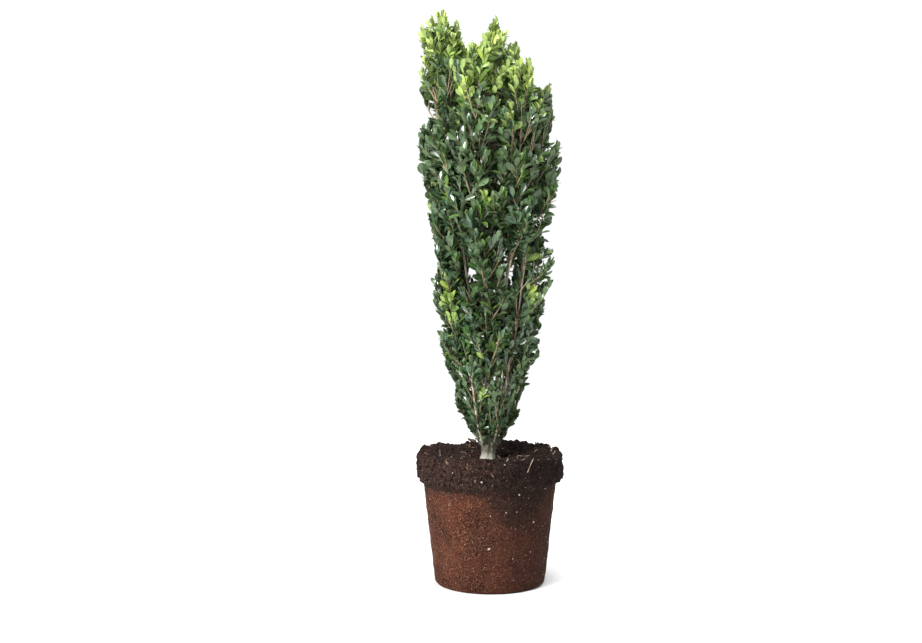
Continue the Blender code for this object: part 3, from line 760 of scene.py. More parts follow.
Mass = namedtuple("Mass", "name angle share foot top")
MASSES = [Mass(f"low_{n + 1}", 55 + 60 * n, 0.70, 0.024, 0.20 + 0.025 * (n % 2)) for n in range(6)]
MASSES += [Mass(f"middle_{n + 1}", 25 + 60 * n, 0.72, 0.125, 0.44 + 0.035 * (n % 2)) for n in range(6)]
MASSES += [
    Mass("high_left", 163, 0.82, 0.335, 0.756),
    Mass("high_left_front", 215, 0.68, 0.335, 0.777),
    Mass("high_front", 252, 0.76, 0.335, 0.732),
    Mass("high_right_front", 304, 0.78, 0.335, 0.690),
    Mass("high_right", 341, 0.80, 0.335, 0.664),
    Mass("high_right_back", 52, 0.66, 0.335, 0.742),
    Mass("high_back", 102, 0.75, 0.335, 0.745),
    Mass("high_centre", 0, 0.08, 0.375, 0.783),
]


def crown_half_width(height):
    return CROWN_REACH * (1 - np.exp(-np.maximum(height, 0) / CROWN_FLARE))


def height_and_reach(points):
    """Each point's height above the soil, and how far out it stands in the flattened crown."""
    return points[:, 2] - SOIL_LEVEL, np.hypot(points[:, 0], points[:, 1] / CROWN_DEPTH_SHARE)


def in_crown(angle, share, height):
    """The point at a share of the crown's half width, at a height above the soil."""
    reach = share * crown_half_width(height)
    turn = math.radians(angle)
    return np.array([reach * math.cos(turn), reach * math.sin(turn) * CROWN_DEPTH_SHARE, SOIL_LEVEL + height])


def leaf_scale(height):
    """Leaves are smaller at the crown's foot."""
    return LOW_LEAF_SCALE + (1 - LOW_LEAF_SCALE) * min(1.0, max(0.0, height) / FULL_LEAF_HEIGHT)


# %% Trunk radius
def trunk_radius(height):
    """Root flare at the soil, a waist above it, then widening to the fork."""
    share = height / TRUNK_HEIGHT
    if share < WAIST_SHARE:
        return FLARE_RADIUS + (WAIST_RADIUS - FLARE_RADIUS) * math.sin(share / WAIST_SHARE * math.pi / 2)
    rise = (share - WAIST_SHARE) / (1 - WAIST_SHARE)
    return WAIST_RADIUS + (FORK_RADIUS - WAIST_RADIUS) * rise**1.3


def trunk_side(height, turn, radius):
    """The fluted, leaning trunk's own point for a round trunk's radius and turn."""
    fluted = radius * (1 + FLUTE_DEPTH * math.cos(FLUTES * turn))
    lean = TRUNK_LEAN * (1 - height / TRUNK_HEIGHT)
    return fluted * math.cos(turn) - lean, fluted * math.sin(turn)


# %% Paths of the boughs and stems
BOUGH_SPREAD_POWER, BOUGH_TIP_SHARE = 1.35, 0.72
BOUGH_FOOT_RADIUS, BOUGH_TIP_RADIUS, STEM_TIP_RADIUS, LOW_STEM_RADIUS = 0.0025, 0.0020, 0.0011, 0.0017
PATH_STEPS = 48


def bough_path(mass):
    """From the trunk's fork, starting upright, to the foot of its mass."""
    ring = 0 if mass.name == "high_centre" else INNER_RING if mass.name.startswith("high") else OUTER_RING
    turn = math.radians(mass.angle)
    start = np.array([ring * math.cos(turn), ring * math.sin(turn), SOIL_LEVEL + TRUNK_HEIGHT])
    end = in_crown(mass.angle, BOUGH_TIP_SHARE * mass.share, mass.foot)
    rise = np.linspace(0, 1, PATH_STEPS)[:, None]
    spread = rise**BOUGH_SPREAD_POWER
    return start + (end - start) * np.hstack([spread, spread, rise])


def stem_path(foot, direction, top, bend):
    """A stem that sets out in one direction and bends up to its top."""
    control = foot + direction * bend * (top[2] - foot[2])
    return arc(np.linspace(0, 1, PATH_STEPS)[:, None], foot, control, top)


def low_stem(mass):
    turn = math.radians(mass.angle)
    outward = np.array([math.cos(turn), math.sin(turn), 0])
    foot = np.array([*trunk_side(mass.foot, turn, trunk_radius(mass.foot) - 0.001), SOIL_LEVEL + mass.foot])
    top = in_crown(mass.angle, mass.share, mass.top - LEAF_ROOM * leaf_scale(mass.top))
    return stem_path(foot, unit(outward + (0, 0, 1)), top, 0.3)


def wavering(path, amount, seed):
    """A living stem is never quite straight: a slow waver that is nil at its foot."""
    grown = np.linalg.norm(path - path[0], axis=1)
    waver = np.array([noise.noise_vector(Vector(point) / 0.055 + Vector((seed, 0, 0))) for point in path])
    return path + waver * (amount * np.minimum(1, grown / 0.08))[:, None] * (1, 1, 0)


# %% Grow the limbs
noise.seed_set(5)  # unseeded, noise_vector starts from the clock
boughs, stems = {}, {}
for index, mass in enumerate(MASSES):
    if mass.name.startswith("low"):
        stems[mass.name] = wavering(low_stem(mass), 0.002, index)
        continue
    bough = bough_path(mass)
    top = in_crown(mass.angle, mass.share, mass.top - LEAF_ROOM)
    stem = stem_path(bough[-1], unit(bough[-1] - bough[-2]), top, 0.45)
    whole = wavering(np.vstack([bough, stem[1:]]), 0.003, index)
    boughs[mass.name], stems[mass.name] = whole[:PATH_STEPS], whole[PATH_STEPS - 1:]
print(len(boughs), "boughs,", len(stems), "stems")

# %% [markdown]
# ## Trunk
#
# The trunk is a bundle of young stems that have grown together, which is why it is
# fluted and widens upwards. It is turned, fluted, and then joined with the first
# stretch of every bough. A voxel remesh melts the tubes and the trunk into one skin
# with rounded crotches, which separate tubes pushed into a turned form would not
# have. Last, the skin is pushed in and out along its length, for the bark's ridges.

# %% Trunk form
TRUNK_RINGS, TRUNK_SIDES, SPUR_LENGTH = 22, 64, 0.030
TRUNK_SINK, TRUNK_CROWN = -0.004, 0.003  # how far it goes on below the soil and above the fork
heights = [TRUNK_HEIGHT * step / TRUNK_RINGS for step in range(TRUNK_RINGS + 1)]
profile = [(0, TRUNK_SINK), (trunk_radius(0), TRUNK_SINK)]
profile += [(trunk_radius(height), height) for height in heights]
trunk = turned(profile + [(0, TRUNK_HEIGHT + TRUNK_CROWN)], TRUNK_SIDES)
for vert in trunk.verts:
    x, y, z = vert.co
    twist = math.atan2(y, x) + 9 * z
    vert.co.x, vert.co.y = trunk_side(z, twist, math.hypot(x, y) * 0.97)
    vert.co.z += SOIL_LEVEL


# %% Boughs as curves
def limb_mesh(name, path, radii):
    """A curve with a round bevel, whose points have their own radius, made a mesh."""
    curve = bpy.data.curves.new(name, "CURVE")
    curve.dimensions = "3D"
    curve.bevel_depth = 1.0
    curve.bevel_resolution = 3
    curve.use_fill_caps = True
    spline = curve.splines.new("POLY")
    spline.points.add(len(path) - 1)
    for point, place, radius in zip(spline.points, path, radii):
        point.co = (*place, 1)
        point.radius = radius
    holder = bpy.data.objects.new(name, curve)
    mesh = bpy.data.meshes.new_from_object(holder)
    bpy.data.objects.remove(holder)
    return mesh


for name, bough in boughs.items():
    foot = bough[0] * (0.80, 0.80, 1) - (0, 0, 0.016)
    spur = np.vstack([foot, bough[bough[:, 2] < SOIL_LEVEL + TRUNK_HEIGHT + SPUR_LENGTH]])
    fork = bough[0][2]
    radii = np.interp(spur[:, 2], (foot[2], fork, fork + 0.018), (0.0030, 0.0034, BOUGH_FOOT_RADIUS))
    trunk.from_mesh(limb_mesh(name, spur, radii))
for name in [mass.name for mass in MASSES if mass.name.startswith("low")]:
    spur = stems[name][:9]
    trunk.from_mesh(limb_mesh(name, spur, np.linspace(0.0026, LOW_STEM_RADIUS, len(spur))))

# %% Melt the trunk into one skin
trunk_mesh = bpy.data.meshes.new("trunk_parts")
trunk.to_mesh(trunk_mesh)
trunk.free()
holder = in_scene("trunk_parts", trunk_mesh)
remesh = holder.modifiers.new("melt", "REMESH")
remesh.mode = "VOXEL"
remesh.voxel_size = 0.0009
skin = bmesh.new()
skin.from_object(holder, bpy.context.evaluated_depsgraph_get())
bpy.data.objects.remove(holder)
for _ in range(3):
    axes = {"use_axis_x": True, "use_axis_y": True, "use_axis_z": True}
    bmesh.ops.smooth_vert(skin, verts=skin.verts, factor=0.5, **axes)
skin.normal_update()
for vert in skin.verts:
    x, y, z = vert.co
    ridges = noise.noise(Vector((x / 0.0042, y / 0.0042, z / 0.045))) * 0.0009
    warts = max(0.0, noise.noise(vert.co / 0.005)) * 0.0006
    vert.co += vert.normal * (ridges + warts)
trunk_mesh = mesh_from_bmesh("trunk_bark", skin, 80)

# %% [markdown]
# ### Bark
#
# Young holly bark is smooth and pale, grey to tan, with long streaks and little cross
# cracks. The pattern is noise squeezed across the stem, so that it runs along it. The
# colour is paler at the foot of the trunk. The boughs get paler tones than the trunk,
# partly pale young bark and partly painted light, as the crown shades them.

# %% Bark finish
TRUNK_TONES = ((0.075, 0.067, 0.045), (0.162, 0.148, 0.102), (0.285, 0.275, 0.21))  # dark, middle, pale
# Paler than the trunk's tones: partly pale young bark, partly painted light, as the boughs sit in the crown's
# shade.
BOUGH_TONES_AND_PAINTED_LIGHT = ((0.30, 0.25, 0.17), (0.62, 0.55, 0.40), (0.78, 0.73, 0.60))
# The colour that the trunk pales to at its foot.
PALE_FOOT_TONE = (0.62, 0.60, 0.50)


def bark_finish(name, dark, middle, pale):
    material, tree, shader = new_material(name, 0.72)
    along = object_coordinates(tree, (1, 1, 0.14))
    body = layered(tree, dark, along, [(190, 0.36, 0.60, middle), (420, 0.45, 0.68, pale)])
    cracks = group_mask(tree, strands, along, Scale=260, Width=0.020)
    body = mixed(tree, cracks, body, dark)
    height = coordinate(tree, object_coordinates(tree), "Z")
    foot = ramp(tree, height, SOIL_LEVEL + 0.015, SOIL_LEVEL + 0.002, 0.60, "LINEAR")
    tree.links.new(mixed(tree, foot, body, PALE_FOOT_TONE), shader.inputs["Base Color"])
    grain = group_mask(tree, mottle, along, Scale=700, Low=0.2, High=0.8)
    add_bump(tree, shader, math_node(tree, "MULTIPLY_ADD", cracks, -0.6, grain), 0.0006, 0.8)
    return material


add_piece("trunk_bark", trunk_mesh, [bark_finish("trunk_bark", *TRUNK_TONES)], ["trunk"])

# %% [markdown]
# ## Boughs and stems
#
# A bough runs on as the stem of its mass without a break. Each is a beveled curve with
# its own radius at every point. Real stems swell a little at each old leaf joint, so
# the radius is a slow taper with small bumps, and the mesh gets a slight relief.

# %% Boughs and stems
limbs = bmesh.new()
for index, mass in enumerate(MASSES):
    stem = stems[mass.name]
    path = np.vstack([boughs[mass.name], stem[1:]]) if mass.name in boughs else stem
    foot_radius = BOUGH_FOOT_RADIUS if mass.name in boughs else LOW_STEM_RADIUS
    grown = np.concatenate([[0], np.cumsum(np.linalg.norm(np.diff(path, axis=0), axis=1))])
    places = np.arange(0, grown[-1], 0.0045)
    fine = np.stack([np.interp(places, grown, path[:, axis]) for axis in range(3)], axis=-1)
    radii = np.interp(places, (0, grown[-1]), (foot_radius, STEM_TIP_RADIUS))
    radii *= 1 + 0.12 * np.maximum(0, np.cos(places / 0.021 * math.tau + index)) ** 6
    radii[-1] *= 0.4
    limbs.from_mesh(limb_mesh(mass.name, fine, radii))
limbs.normal_update()
for vert in limbs.verts:
    x, y, z = vert.co
    vert.co += vert.normal * noise.noise(Vector((x / 0.003, y / 0.003, z / 0.03))) * 0.00022
bough_nodes = [f"bough_{name}" for name in boughs]
bough_bark = bark_finish("bough_bark", *BOUGH_TONES_AND_PAINTED_LIGHT)
add_piece("bough_bark", mesh_from_bmesh("bough_bark", limbs, 80), [bough_bark], bough_nodes)

# %% [markdown]
# ## Room for the foliage
#
# The rule is the solid model's own: a mass may fill the points that lie nearer to its
# stem than to any other's, inside the crown's outline, and off the limbs. Here the
# crown's top follows a skyline of peaks and dips, with gaps between the leaders, and
# noise swells the sides to clumps and dents them between these.

# %% Distances to stems and limbs
LIMB_MARGIN = 0.0008  # how far a twig or leaf keeps off the bark
STRAY = 0.007  # how far a leaf may reach into the next mass
PEAK_RISE = 0.010  # how far a leader may rise above its mass's top
SKYLINE = np.array([  # the crown's top edge: sideways place, height above the soil
    (-0.140, 0.690), (-0.132, 0.744), (-0.110, 0.768), (-0.078, 0.781), (-0.067, 0.752),
    (-0.057, 0.775), (-0.042, 0.722), (-0.019, 0.728), (-0.007, 0.760), (0.011, 0.781),
    (0.022, 0.740), (0.050, 0.744), (0.056, 0.706), (0.068, 0.698), (0.077, 0.660),
    (0.087, 0.645), (0.103, 0.664), (0.113, 0.612), (0.135, 0.500),
])
RAGGED_SCALE, RAGGED_IN, RAGGED_OUT, LARGEST_OVERHANG = 0.045, 0.020, 0.014, 0.010
FOOT_FULLNESS, TOP_FULLNESS = 0.008, 0.007  # how much fuller the lowest and highest leaves make the outline
SPIKE_SIZE, SPIKE_DEPTH = 0.011, 0.030  # of the gaps between the leaders at the top
RAGGED_START = Vector((163, 354, 347))  # where the noise is read, so that the dents fall in their places


def pieces_of(paths, radii):
    """The straight pieces of several paths: start, run, owner, radius."""
    start = np.vstack([path[:-1] for path in paths])
    run = np.vstack([np.diff(path, axis=0) for path in paths])
    owner = np.concatenate([[index] * (len(path) - 1) for index, path in enumerate(paths)])
    radius = np.concatenate([radius[:-1] for radius in radii])
    return start, run, owner, radius


def distances(points, pieces):
    """From each point to the surface round each straight piece."""
    start, run, _, radius = pieces
    offset = points[:, None, :] - start
    along = np.clip((offset * run).sum(2) / (run**2).sum(1), 0, 1)
    return np.linalg.norm(offset - along[:, :, None] * run, axis=2) - radius


thin_stems = [stems[mass.name][::7] for mass in MASSES]
stem_pieces = pieces_of(thin_stems, [np.zeros(len(path)) for path in thin_stems])
trunk_line = np.array([[0, 0, SOIL_LEVEL + share * TRUNK_HEIGHT] for share in (0, 0.3, 1)])
thin_boughs = [trunk_line] + [path[::7] for path in boughs.values()]
bough_radii = [np.array([0.013, 0.013, 0.019])]
bough_radii += [np.linspace(BOUGH_FOOT_RADIUS, BOUGH_TIP_RADIUS, len(path)) for path in thin_boughs[1:]]
limb_pieces = pieces_of(thin_boughs, bough_radii)


def ragged(points):
    """How far the crown's outline stands out at each point: clumps and the gaps between them."""
    waves = np.array([noise.noise(Vector(point) / RAGGED_SCALE + RAGGED_START) for point in points])
    waves = np.where(waves > 0, waves * RAGGED_OUT / 0.5, waves * RAGGED_IN / 0.5)
    return waves * np.clip((points[:, 2] - SOIL_LEVEL) / 0.20, 0.15, 1)


def inside(number, points, stray=0.0):
    """For each point, whether the mass may put a twig or a leaf there."""
    mass = MASSES[number]
    heights, reach = height_and_reach(points)
    waves = ragged(points)
    spikes = np.array([noise.noise(Vector((x, y, 0.3)) / SPIKE_SIZE) for x, y, _ in points])
    top = np.interp(points[:, 0], *SKYLINE.T) - SPIKE_DEPTH * np.maximum(spikes, 0)
    kept = (heights > CROWN_FOOT) & (heights < np.minimum(top, mass.top + PEAK_RISE))
    fuller = FOOT_FULLNESS * smooth_step(heights, 0.15, 0.06)
    fuller += TOP_FULLNESS * smooth_step(heights, 0.66, 0.73)
    kept &= reach < crown_half_width(heights) + np.clip(waves, -0.3 * reach, LARGEST_OVERHANG) + fuller
    distance = distances(points, stem_pieces)
    own = stem_pieces[2] == number
    kept &= distance[:, own].min(1) - stray < distance[:, ~own].min(1)
    return kept & (distances(points, limb_pieces).min(1) > LIMB_MARGIN)


# %% [markdown]
# ## Branches and shoots
#
# Side branches leave a stem at golden-angle turns, so that no two stand above each
# other, and bend up towards the light. Each takes the longest of a few lengths that
# stays in its mass's room. Shoots leave the branch in turn, by the same rule and
# smaller, and the branch's own end is a shoot too. A path that would leave the room
# is tried shorter and steeper, and skipped if nothing fits.

# %% Grow branches and shoots
BRANCH_LENGTHS = (0.090, 0.074, 0.060, 0.048, 0.038, 0.029, 0.021, 0.014)
SHOOT_LENGTHS = (0.060, 0.048, 0.038, 0.029, 0.021, 0.014)
BRANCH_SPACING, SHOOT_SPACING = 0.0128, 0.0134
BRANCH_LEANS = (math.radians(62), math.radians(44), math.radians(28))
SHOOT_LEANS = (math.radians(50), math.radians(32), math.radians(16))
LEADER_LENGTHS, LEADER_LEANS = (0.075, 0.060, 0.048, 0.036, 0.026), (0.55, 0.40, 0.28, 0.16)
LEADER_SPACING, TOP_ZONE = 0.0055, 0.10
SHARES = np.linspace(0, 1, 7)[:, None]


def leaning(direction, lean, turn):
    """The direction, or each of several, tipped by lean towards the side that turn picks."""
    lean, turn = np.asarray(lean)[..., None], np.asarray(turn)[..., None]
    side = unit(np.cross(direction, (0.31, 0.95, 0.05)))
    other = np.cross(direction, side)
    return np.cos(lean) * direction + np.sin(lean) * (np.cos(turn) * side + np.sin(turn) * other)


def rising_path(spot, direction, length, lift):
    """A path that leaves in one direction and bends upwards."""
    bent = unit(direction + np.array([0, 0, lift]))
    end = spot + (direction * 0.5 + bent * 0.5) * length
    control = spot + direction * length * 0.5
    return arc(SHARES, spot, control, end)


def longest(number, spot, axis, turn, leans, lengths, lift):
    """The first path that stays in the mass's room, or None."""
    for length in lengths:
        for lean in leans:
            path = rising_path(spot, leaning(axis, lean, turn), length, lift)
            ahead = path[-1] + unit(path[-1] - path[-2]) * 0.010
            if inside(number, np.vstack([path[1:], ahead])).all():
                return path
    return None


def spot_on(path, place):
    """The point and direction at a distance along a path."""
    steps = np.linalg.norm(np.diff(path, axis=0), axis=1)
    grown = np.concatenate([[0], np.cumsum(steps)])
    index = int(np.clip(np.searchsorted(grown, place) - 1, 0, len(path) - 2))
    share = (place - grown[index]) / steps[index]
    return path[index] + share * (path[index + 1] - path[index]), unit(path[index + 1] - path[index])


def path_length(path):
    return np.linalg.norm(np.diff(path, axis=0), axis=1).sum()


Shoot = namedtuple("Shoot", "number path")
branches, shoots = [], []
for number, mass in enumerate(MASSES):
    rule = np.random.default_rng(100 + number)
    stem = stems[mass.name]
    turn = rule.uniform(0, math.tau)
    place = 0.006
    while place < path_length(stem):
        spot, axis = spot_on(stem, place)
        turn += GOLDEN_ANGLE + rule.normal(0, 0.15)
        small = leaf_scale(spot[2] - SOIL_LEVEL)
        closer = 0.78 if mass.name.startswith("middle") else 1
        place += BRANCH_SPACING * closer * small * rule.uniform(0.8, 1.2)
        lengths = np.array(BRANCH_LENGTHS) * small
        branch = longest(number, spot, axis, turn, BRANCH_LEANS, lengths[rule.integers(0, 3):], 0.8)
        if branch is None:
            continue
        branches.append(branch)
        shoots.append(Shoot(number, branch))
        along = 0.010 * small
        side = rule.uniform(0, math.tau)
        while along < path_length(branch) - 0.006:
            fork, heading = spot_on(branch, along)
            side += GOLDEN_ANGLE
            along += SHOOT_SPACING * small * rule.uniform(0.75, 1.25)
            lengths = np.array(SHOOT_LENGTHS) * small
            shoot = longest(number, fork, heading, side, SHOOT_LEANS, lengths[rule.integers(0, 3):], 0.9)
            if shoot is not None:
                shoots.append(Shoot(number, shoot))
    shoots.append(Shoot(number, stem if mass.name.startswith("low") else stem[-9:]))
    if mass.name.startswith("high"):  # the leaders of the new growth, all nearly upright
        place = path_length(stem) - TOP_ZONE
        while place < path_length(stem):
            spot, _ = spot_on(stem, place)
            place += LEADER_SPACING
            turn += GOLDEN_ANGLE
            leader = longest(number, spot, UP, turn, LEADER_LEANS, LEADER_LENGTHS[rule.integers(0, 2):], 2.0)
            if leader is not None:
                shoots.append(Shoot(number, leader))
print(len(branches), "branches,", len(shoots), "shoots")

# %% [markdown]
# ## Leaves
#
# The leaves are small, blunt and widest past the middle, and they stand in pairs. The
# shape is one grid pulled to the leaf's outline, doubled and closed at the edge, with a
# narrow strip for the midrib. Only where its points go differs from leaf to leaf: how
# far it folds, and how far its tip curls down. So one calculation places them all.

# %% Leaf shape
LEAF_ROWS = (0.0, 0.10, 0.29, 0.52, 0.74, 0.90, 1.0)  # along the leaf
LEAF_BREADTHS = (0.0, 0.10, 0.62, 0.97, 0.92, 0.56, 0.0)  # of its half width
RIB_SHARE = 0.10
BLADE, RIB, UNDERSIDE = 0, 1, 2

leaf = bmesh.new()
bmesh.ops.create_grid(leaf, x_segments=3, y_segments=len(LEAF_ROWS) - 1, size=1)
part_layer = leaf.faces.layers.int.new("part")
for face in leaf.faces:
    face[part_layer] = RIB if abs(face.calc_center_median().x) < 0.3 else BLADE
for vert in leaf.verts:
    row = round((vert.co.y + 1) / 2 * (len(LEAF_ROWS) - 1))
    across = math.copysign(1 if abs(vert.co.x) > 0.5 else RIB_SHARE, vert.co.x)
    vert.co = (across * LEAF_BREADTHS[row], LEAF_ROWS[row], 0)
under = bmesh.ops.duplicate(leaf, geom=leaf.faces[:])["geom"]
under_faces = [item for item in under if isinstance(item, bmesh.types.BMFace)]
bmesh.ops.reverse_faces(leaf, faces=under_faces)
for face in under_faces:
    face[part_layer] = UNDERSIDE
for vert in [item for item in under if isinstance(item, bmesh.types.BMVert)]:
    breadth = LEAF_BREADTHS[LEAF_ROWS.index(min(LEAF_ROWS, key=lambda row: abs(row - vert.co.y)))]
    if breadth and abs(vert.co.x) < breadth / 2:
        vert.co.x = 0
        vert.co.z = -1
bmesh.ops.remove_doubles(leaf, verts=leaf.verts, dist=0.0001)
bmesh.ops.triangulate(leaf, faces=leaf.faces)
leaf_parts = np.array([face[part_layer] for face in leaf.faces])
leaf_points, leaf_faces = shape_arrays(leaf)
print("leaf:", len(leaf_points), "points,", len(leaf_faces), "triangles")

# %% [markdown]
# ### Where the leaves stand
#
# Leaves stand on the outer part of a shoot in near-opposite pairs, each pair turned
# from the one below. They lean well out at the shoot's foot and stand closer to it at
# its tip, where they are also smaller. The upper face looks along the shoot, and
# turns a little up and outwards, to the light. A leaf that would leave its mass's
# room is tried twice more, closer to the shoot and shorter, and is then left out. So is
# one that would hide a stretch of stem that should show, and some deep in the crown,
# where the real plant is bare.

# %% Place the leaves
LEAF_LENGTH, LEAF_ASPECT = 0.0262, 0.42
LEAF_NODE_SPACING = 0.0074
LEAFY_DEPTH, BARE_DEPTH = 0.040, 0.080  # below the crown's surface: leaves thin out between these
WINDOWS = [  # stems that show between the leaves in front: mass, lowest and highest point above the soil
    ("middle_6", 0.120, 0.185), ("middle_6", 0.215, 0.350), ("middle_4", 0.105, 0.155),
    ("high_left_front", 0.285, 0.370), ("high_left_front", 0.630, 0.680), ("high_left", 0.600, 0.660),
]
WINDOW_HALF_WIDTH = 0.0050
TRIES = 3
YOUNG_FROM, YOUNG_FADE, YOUNG_SMALLER = 0.66, 0.05, 0.28  # the new growth at the top has smaller leaves
PAIR_TURN = math.radians(97)  # from one pair of leaves to the next
PROBES = np.array([[0, 1.0], [0, 0.6], [0.8, 0.6], [-0.8, 0.6], [0.5, 0.9], [-0.5, 0.9], [0, 0.3]])


def leaf_frames(roots, along, facing):
    """For each leaf: X across it, Y to its tip, Z out of its upper face."""
    upper = unit(facing - (facing * along).sum(1, keepdims=True) * along)
    return np.stack([np.cross(along, upper), along, upper], axis=-1)


def in_a_window(points):
    """Whether each point hides a stem that should show."""
    hides = np.zeros(len(points), bool)
    for name, low, high in WINDOWS:
        stem = np.vstack([boughs[name], stems[name]])
        height = points[:, 2] - SOIL_LEVEL
        aside = points[:, 0] - np.interp(points[:, 2], stem[:, 2], stem[:, 0])
        in_front = points[:, 1] < np.interp(points[:, 2], stem[:, 2], stem[:, 1])
        edge = np.minimum(height - low, high - height)
        hides |= in_front & (np.abs(aside) < np.minimum(WINDOW_HALF_WIDTH, edge))
    return hides


def depth_below(points):
    """How deep in the crown each point is, from the side or from the top."""
    heights, reach = height_and_reach(points)
    return np.minimum(crown_half_width(heights) - reach, np.interp(points[:, 0], *SKYLINE.T) - heights)


def drawn_leaves(nodes, tried):
    """One try at the leaves of a shoot: their frames and lengths. Later tries stand closer and shorter."""
    count = len(nodes.ages)
    lean = np.radians(18 + nodes.spread * nodes.ages + rule.normal(0, 9, count)) * 0.75**tried
    turn = nodes.turns + rule.normal(0, 0.25 + 0.8 * tried, count)
    along = unit(leaning(nodes.axes, lean, turn) + UP * 0.10)
    outward = unit(nodes.spots * (1, 1, 0) + 1e-6)
    facing = nodes.axes + UP * 0.25 + outward * rule.uniform(-0.2, 0.7, (count, 1))
    facing += rule.normal(0, 0.36, (count, 3))
    growth = 0.60 + 0.40 * np.minimum(1, 0.25 + nodes.ages * 1.4)
    lengths = LEAF_LENGTH * nodes.sizes * growth * rule.uniform(0.84, 1.18, count) * 0.88**tried
    return leaf_frames(nodes.spots, along, facing), lengths


def leaves_fit(number, roots, frames, lengths):
    """Whether all of each leaf stays in its mass's room and out of the windows."""
    flat = np.stack([PROBES[:, 0] * LEAF_ASPECT / 2, PROBES[:, 1], np.zeros(len(PROBES))], axis=-1)
    probes = (roots[:, None] + lengths[:, None, None] * (flat @ frames.transpose(0, 2, 1))).reshape(-1, 3)
    fits = inside(number, probes, STRAY) & ~in_a_window(probes)
    return fits.reshape(len(roots), -1).all(1)


Nodes = namedtuple("Nodes", "spots axes ages turns sizes spread")
Leaves = namedtuple("Leaves", "number roots frames lengths ages spray")
placed = []
rule = np.random.default_rng(7)
for spray, shoot in enumerate(shoots):
    total = path_length(shoot.path)
    tip_height = shoot.path[-1][2] - SOIL_LEVEL
    young = float(np.clip((tip_height - YOUNG_FROM) / YOUNG_FADE, 0, 1))
    whole_stem = len(shoot.path) == PATH_STEPS
    bare = 0.005 if whole_stem else 0.006 if total < 0.03 else 0.22 * total
    rows = []
    turn = rule.uniform(0, math.tau)
    node, count = total - 0.0005, 0
    while node > bare:
        spot, axis = spot_on(shoot.path, node)
        size = leaf_scale(spot[2] - SOIL_LEVEL) * (1 - YOUNG_SMALLER * young)
        node -= LEAF_NODE_SPACING * size
        turn += PAIR_TURN
        leaves_here = 2 if count else 3
        for leaf_number in range(leaves_here):
            leaf_turn = turn + leaf_number * math.tau / leaves_here
            rows.append([*spot, *axis, min(1.0, count / 4), leaf_turn, size])
        count += 1
    rows = np.array(rows)
    nodes = Nodes(rows[:, :3], rows[:, 3:6], rows[:, 6], rows[:, 7], rows[:, 8], 50 - 22 * young)
    frames, lengths = drawn_leaves(nodes, 0)
    fits = leaves_fit(shoot.number, nodes.spots, frames, lengths)
    for tried in range(1, TRIES):
        other_frames, other_lengths = drawn_leaves(nodes, tried)
        frames[~fits], lengths[~fits] = other_frames[~fits], other_lengths[~fits]
        fits = leaves_fit(shoot.number, nodes.spots, frames, lengths)
    fits &= rule.random(len(rows)) > (depth_below(nodes.spots) - LEAFY_DEPTH) / (BARE_DEPTH - LEAFY_DEPTH)
    if fits.any():
        kept = [values[fits] for values in (nodes.spots, frames, lengths, nodes.ages)]
        placed.append(Leaves(shoot.number, *kept, spray))
print(sum(len(leaves.roots) for leaves in placed), "leaves on", len(placed), "shoots")

# %% [markdown]
# ### Leaf colours
#
# Old leaves are a deep green, some of them bluish, and new ones are yellow-green. A
# pale grey-green shade among the old leaves is painted sheen. The crown's top is in
# fresh growth, and a few fresh shoots show lower down. Each spray is dealt one shade.
# A fresh spray is a step deeper at its foot, and an old one has some of the deepest
# leaves, most of them far inside, where that shade is painted shade. These are plain
# colours, without any texture: at this size, it is the number of shades that reads as
# a living plant.

# %% Leaf shades
SHADES = [  # name, colour, roughness; from the oldest to the freshest
    ("deep", (0.014, 0.035, 0.010), 0.34),
    # Painted sheen: a pale grey-green that paints the studio's reflection on glossy leaves into their colour.
    ("waxy", (0.062, 0.118, 0.062), 0.27),
    ("bluish", (0.030, 0.073, 0.035), 0.29),
    ("dark", (0.028, 0.070, 0.015), 0.32),
    ("green", (0.053, 0.120, 0.021), 0.34),
    ("grassy", (0.094, 0.180, 0.030), 0.36),
    ("fresh", (0.180, 0.290, 0.044), 0.40),
    ("young", (0.290, 0.385, 0.066), 0.42),
    ("lime", (0.380, 0.470, 0.110), 0.45),
]
OTHER_PARTS = [  # old and fresh ribs, then old and fresh undersides
    ("rib_old", 0.45, (0.085, 0.140, 0.050)), ("rib_fresh", 0.5, (0.35, 0.43, 0.14)),
    ("underside_old", 0.6, (0.085, 0.135, 0.055)), ("underside_fresh", 0.6, (0.26, 0.35, 0.10)),
]
LEAF_SHEEN = 0.75
FRESH_FROM = 6  # shades from here on have the fresh rib and underside
leaf_materials = [
    new_material(f"leaf_{name}", roughness, colour, LEAF_SHEEN)[0] for name, colour, roughness in SHADES
]
leaf_materials += [new_material(*part)[0] for part in OTHER_PARTS]
print(len(leaf_materials), "plain colours")

# %% Deal the shades
FRESH_SPOTS = np.array([  # fresh shoots below the top, across and up the front
    (0.088, 0.743), (-0.004, 0.672), (-0.035, 0.620), (0.097, 0.602), (-0.078, 0.500), (-0.070, 0.470),
    (0.080, 0.505), (-0.009, 0.345), (-0.062, 0.345),
])
FRESH_SPOT_SIZE = 0.014
NEW_GROWTH, NEW_GROWTH_FADE = 0.645, 0.06  # the height where it begins, and how far it blends in
HIGH_SHARES = (0.09, 0.07, 0.13, 0.25, 0.28, 0.13, 0.04, 0.01)  # of the shades above HIGH_ZONE
LOW_SHARES = (0.30, 0.05, 0.27, 0.28, 0.07, 0.01, 0.01, 0.01)  # below LOW_ZONE
MIDDLE_SHARES = (0.10, 0.14, 0.24, 0.24, 0.19, 0.06, 0.02, 0.01)
HIGH_ZONE, LOW_ZONE = 0.45, 0.15


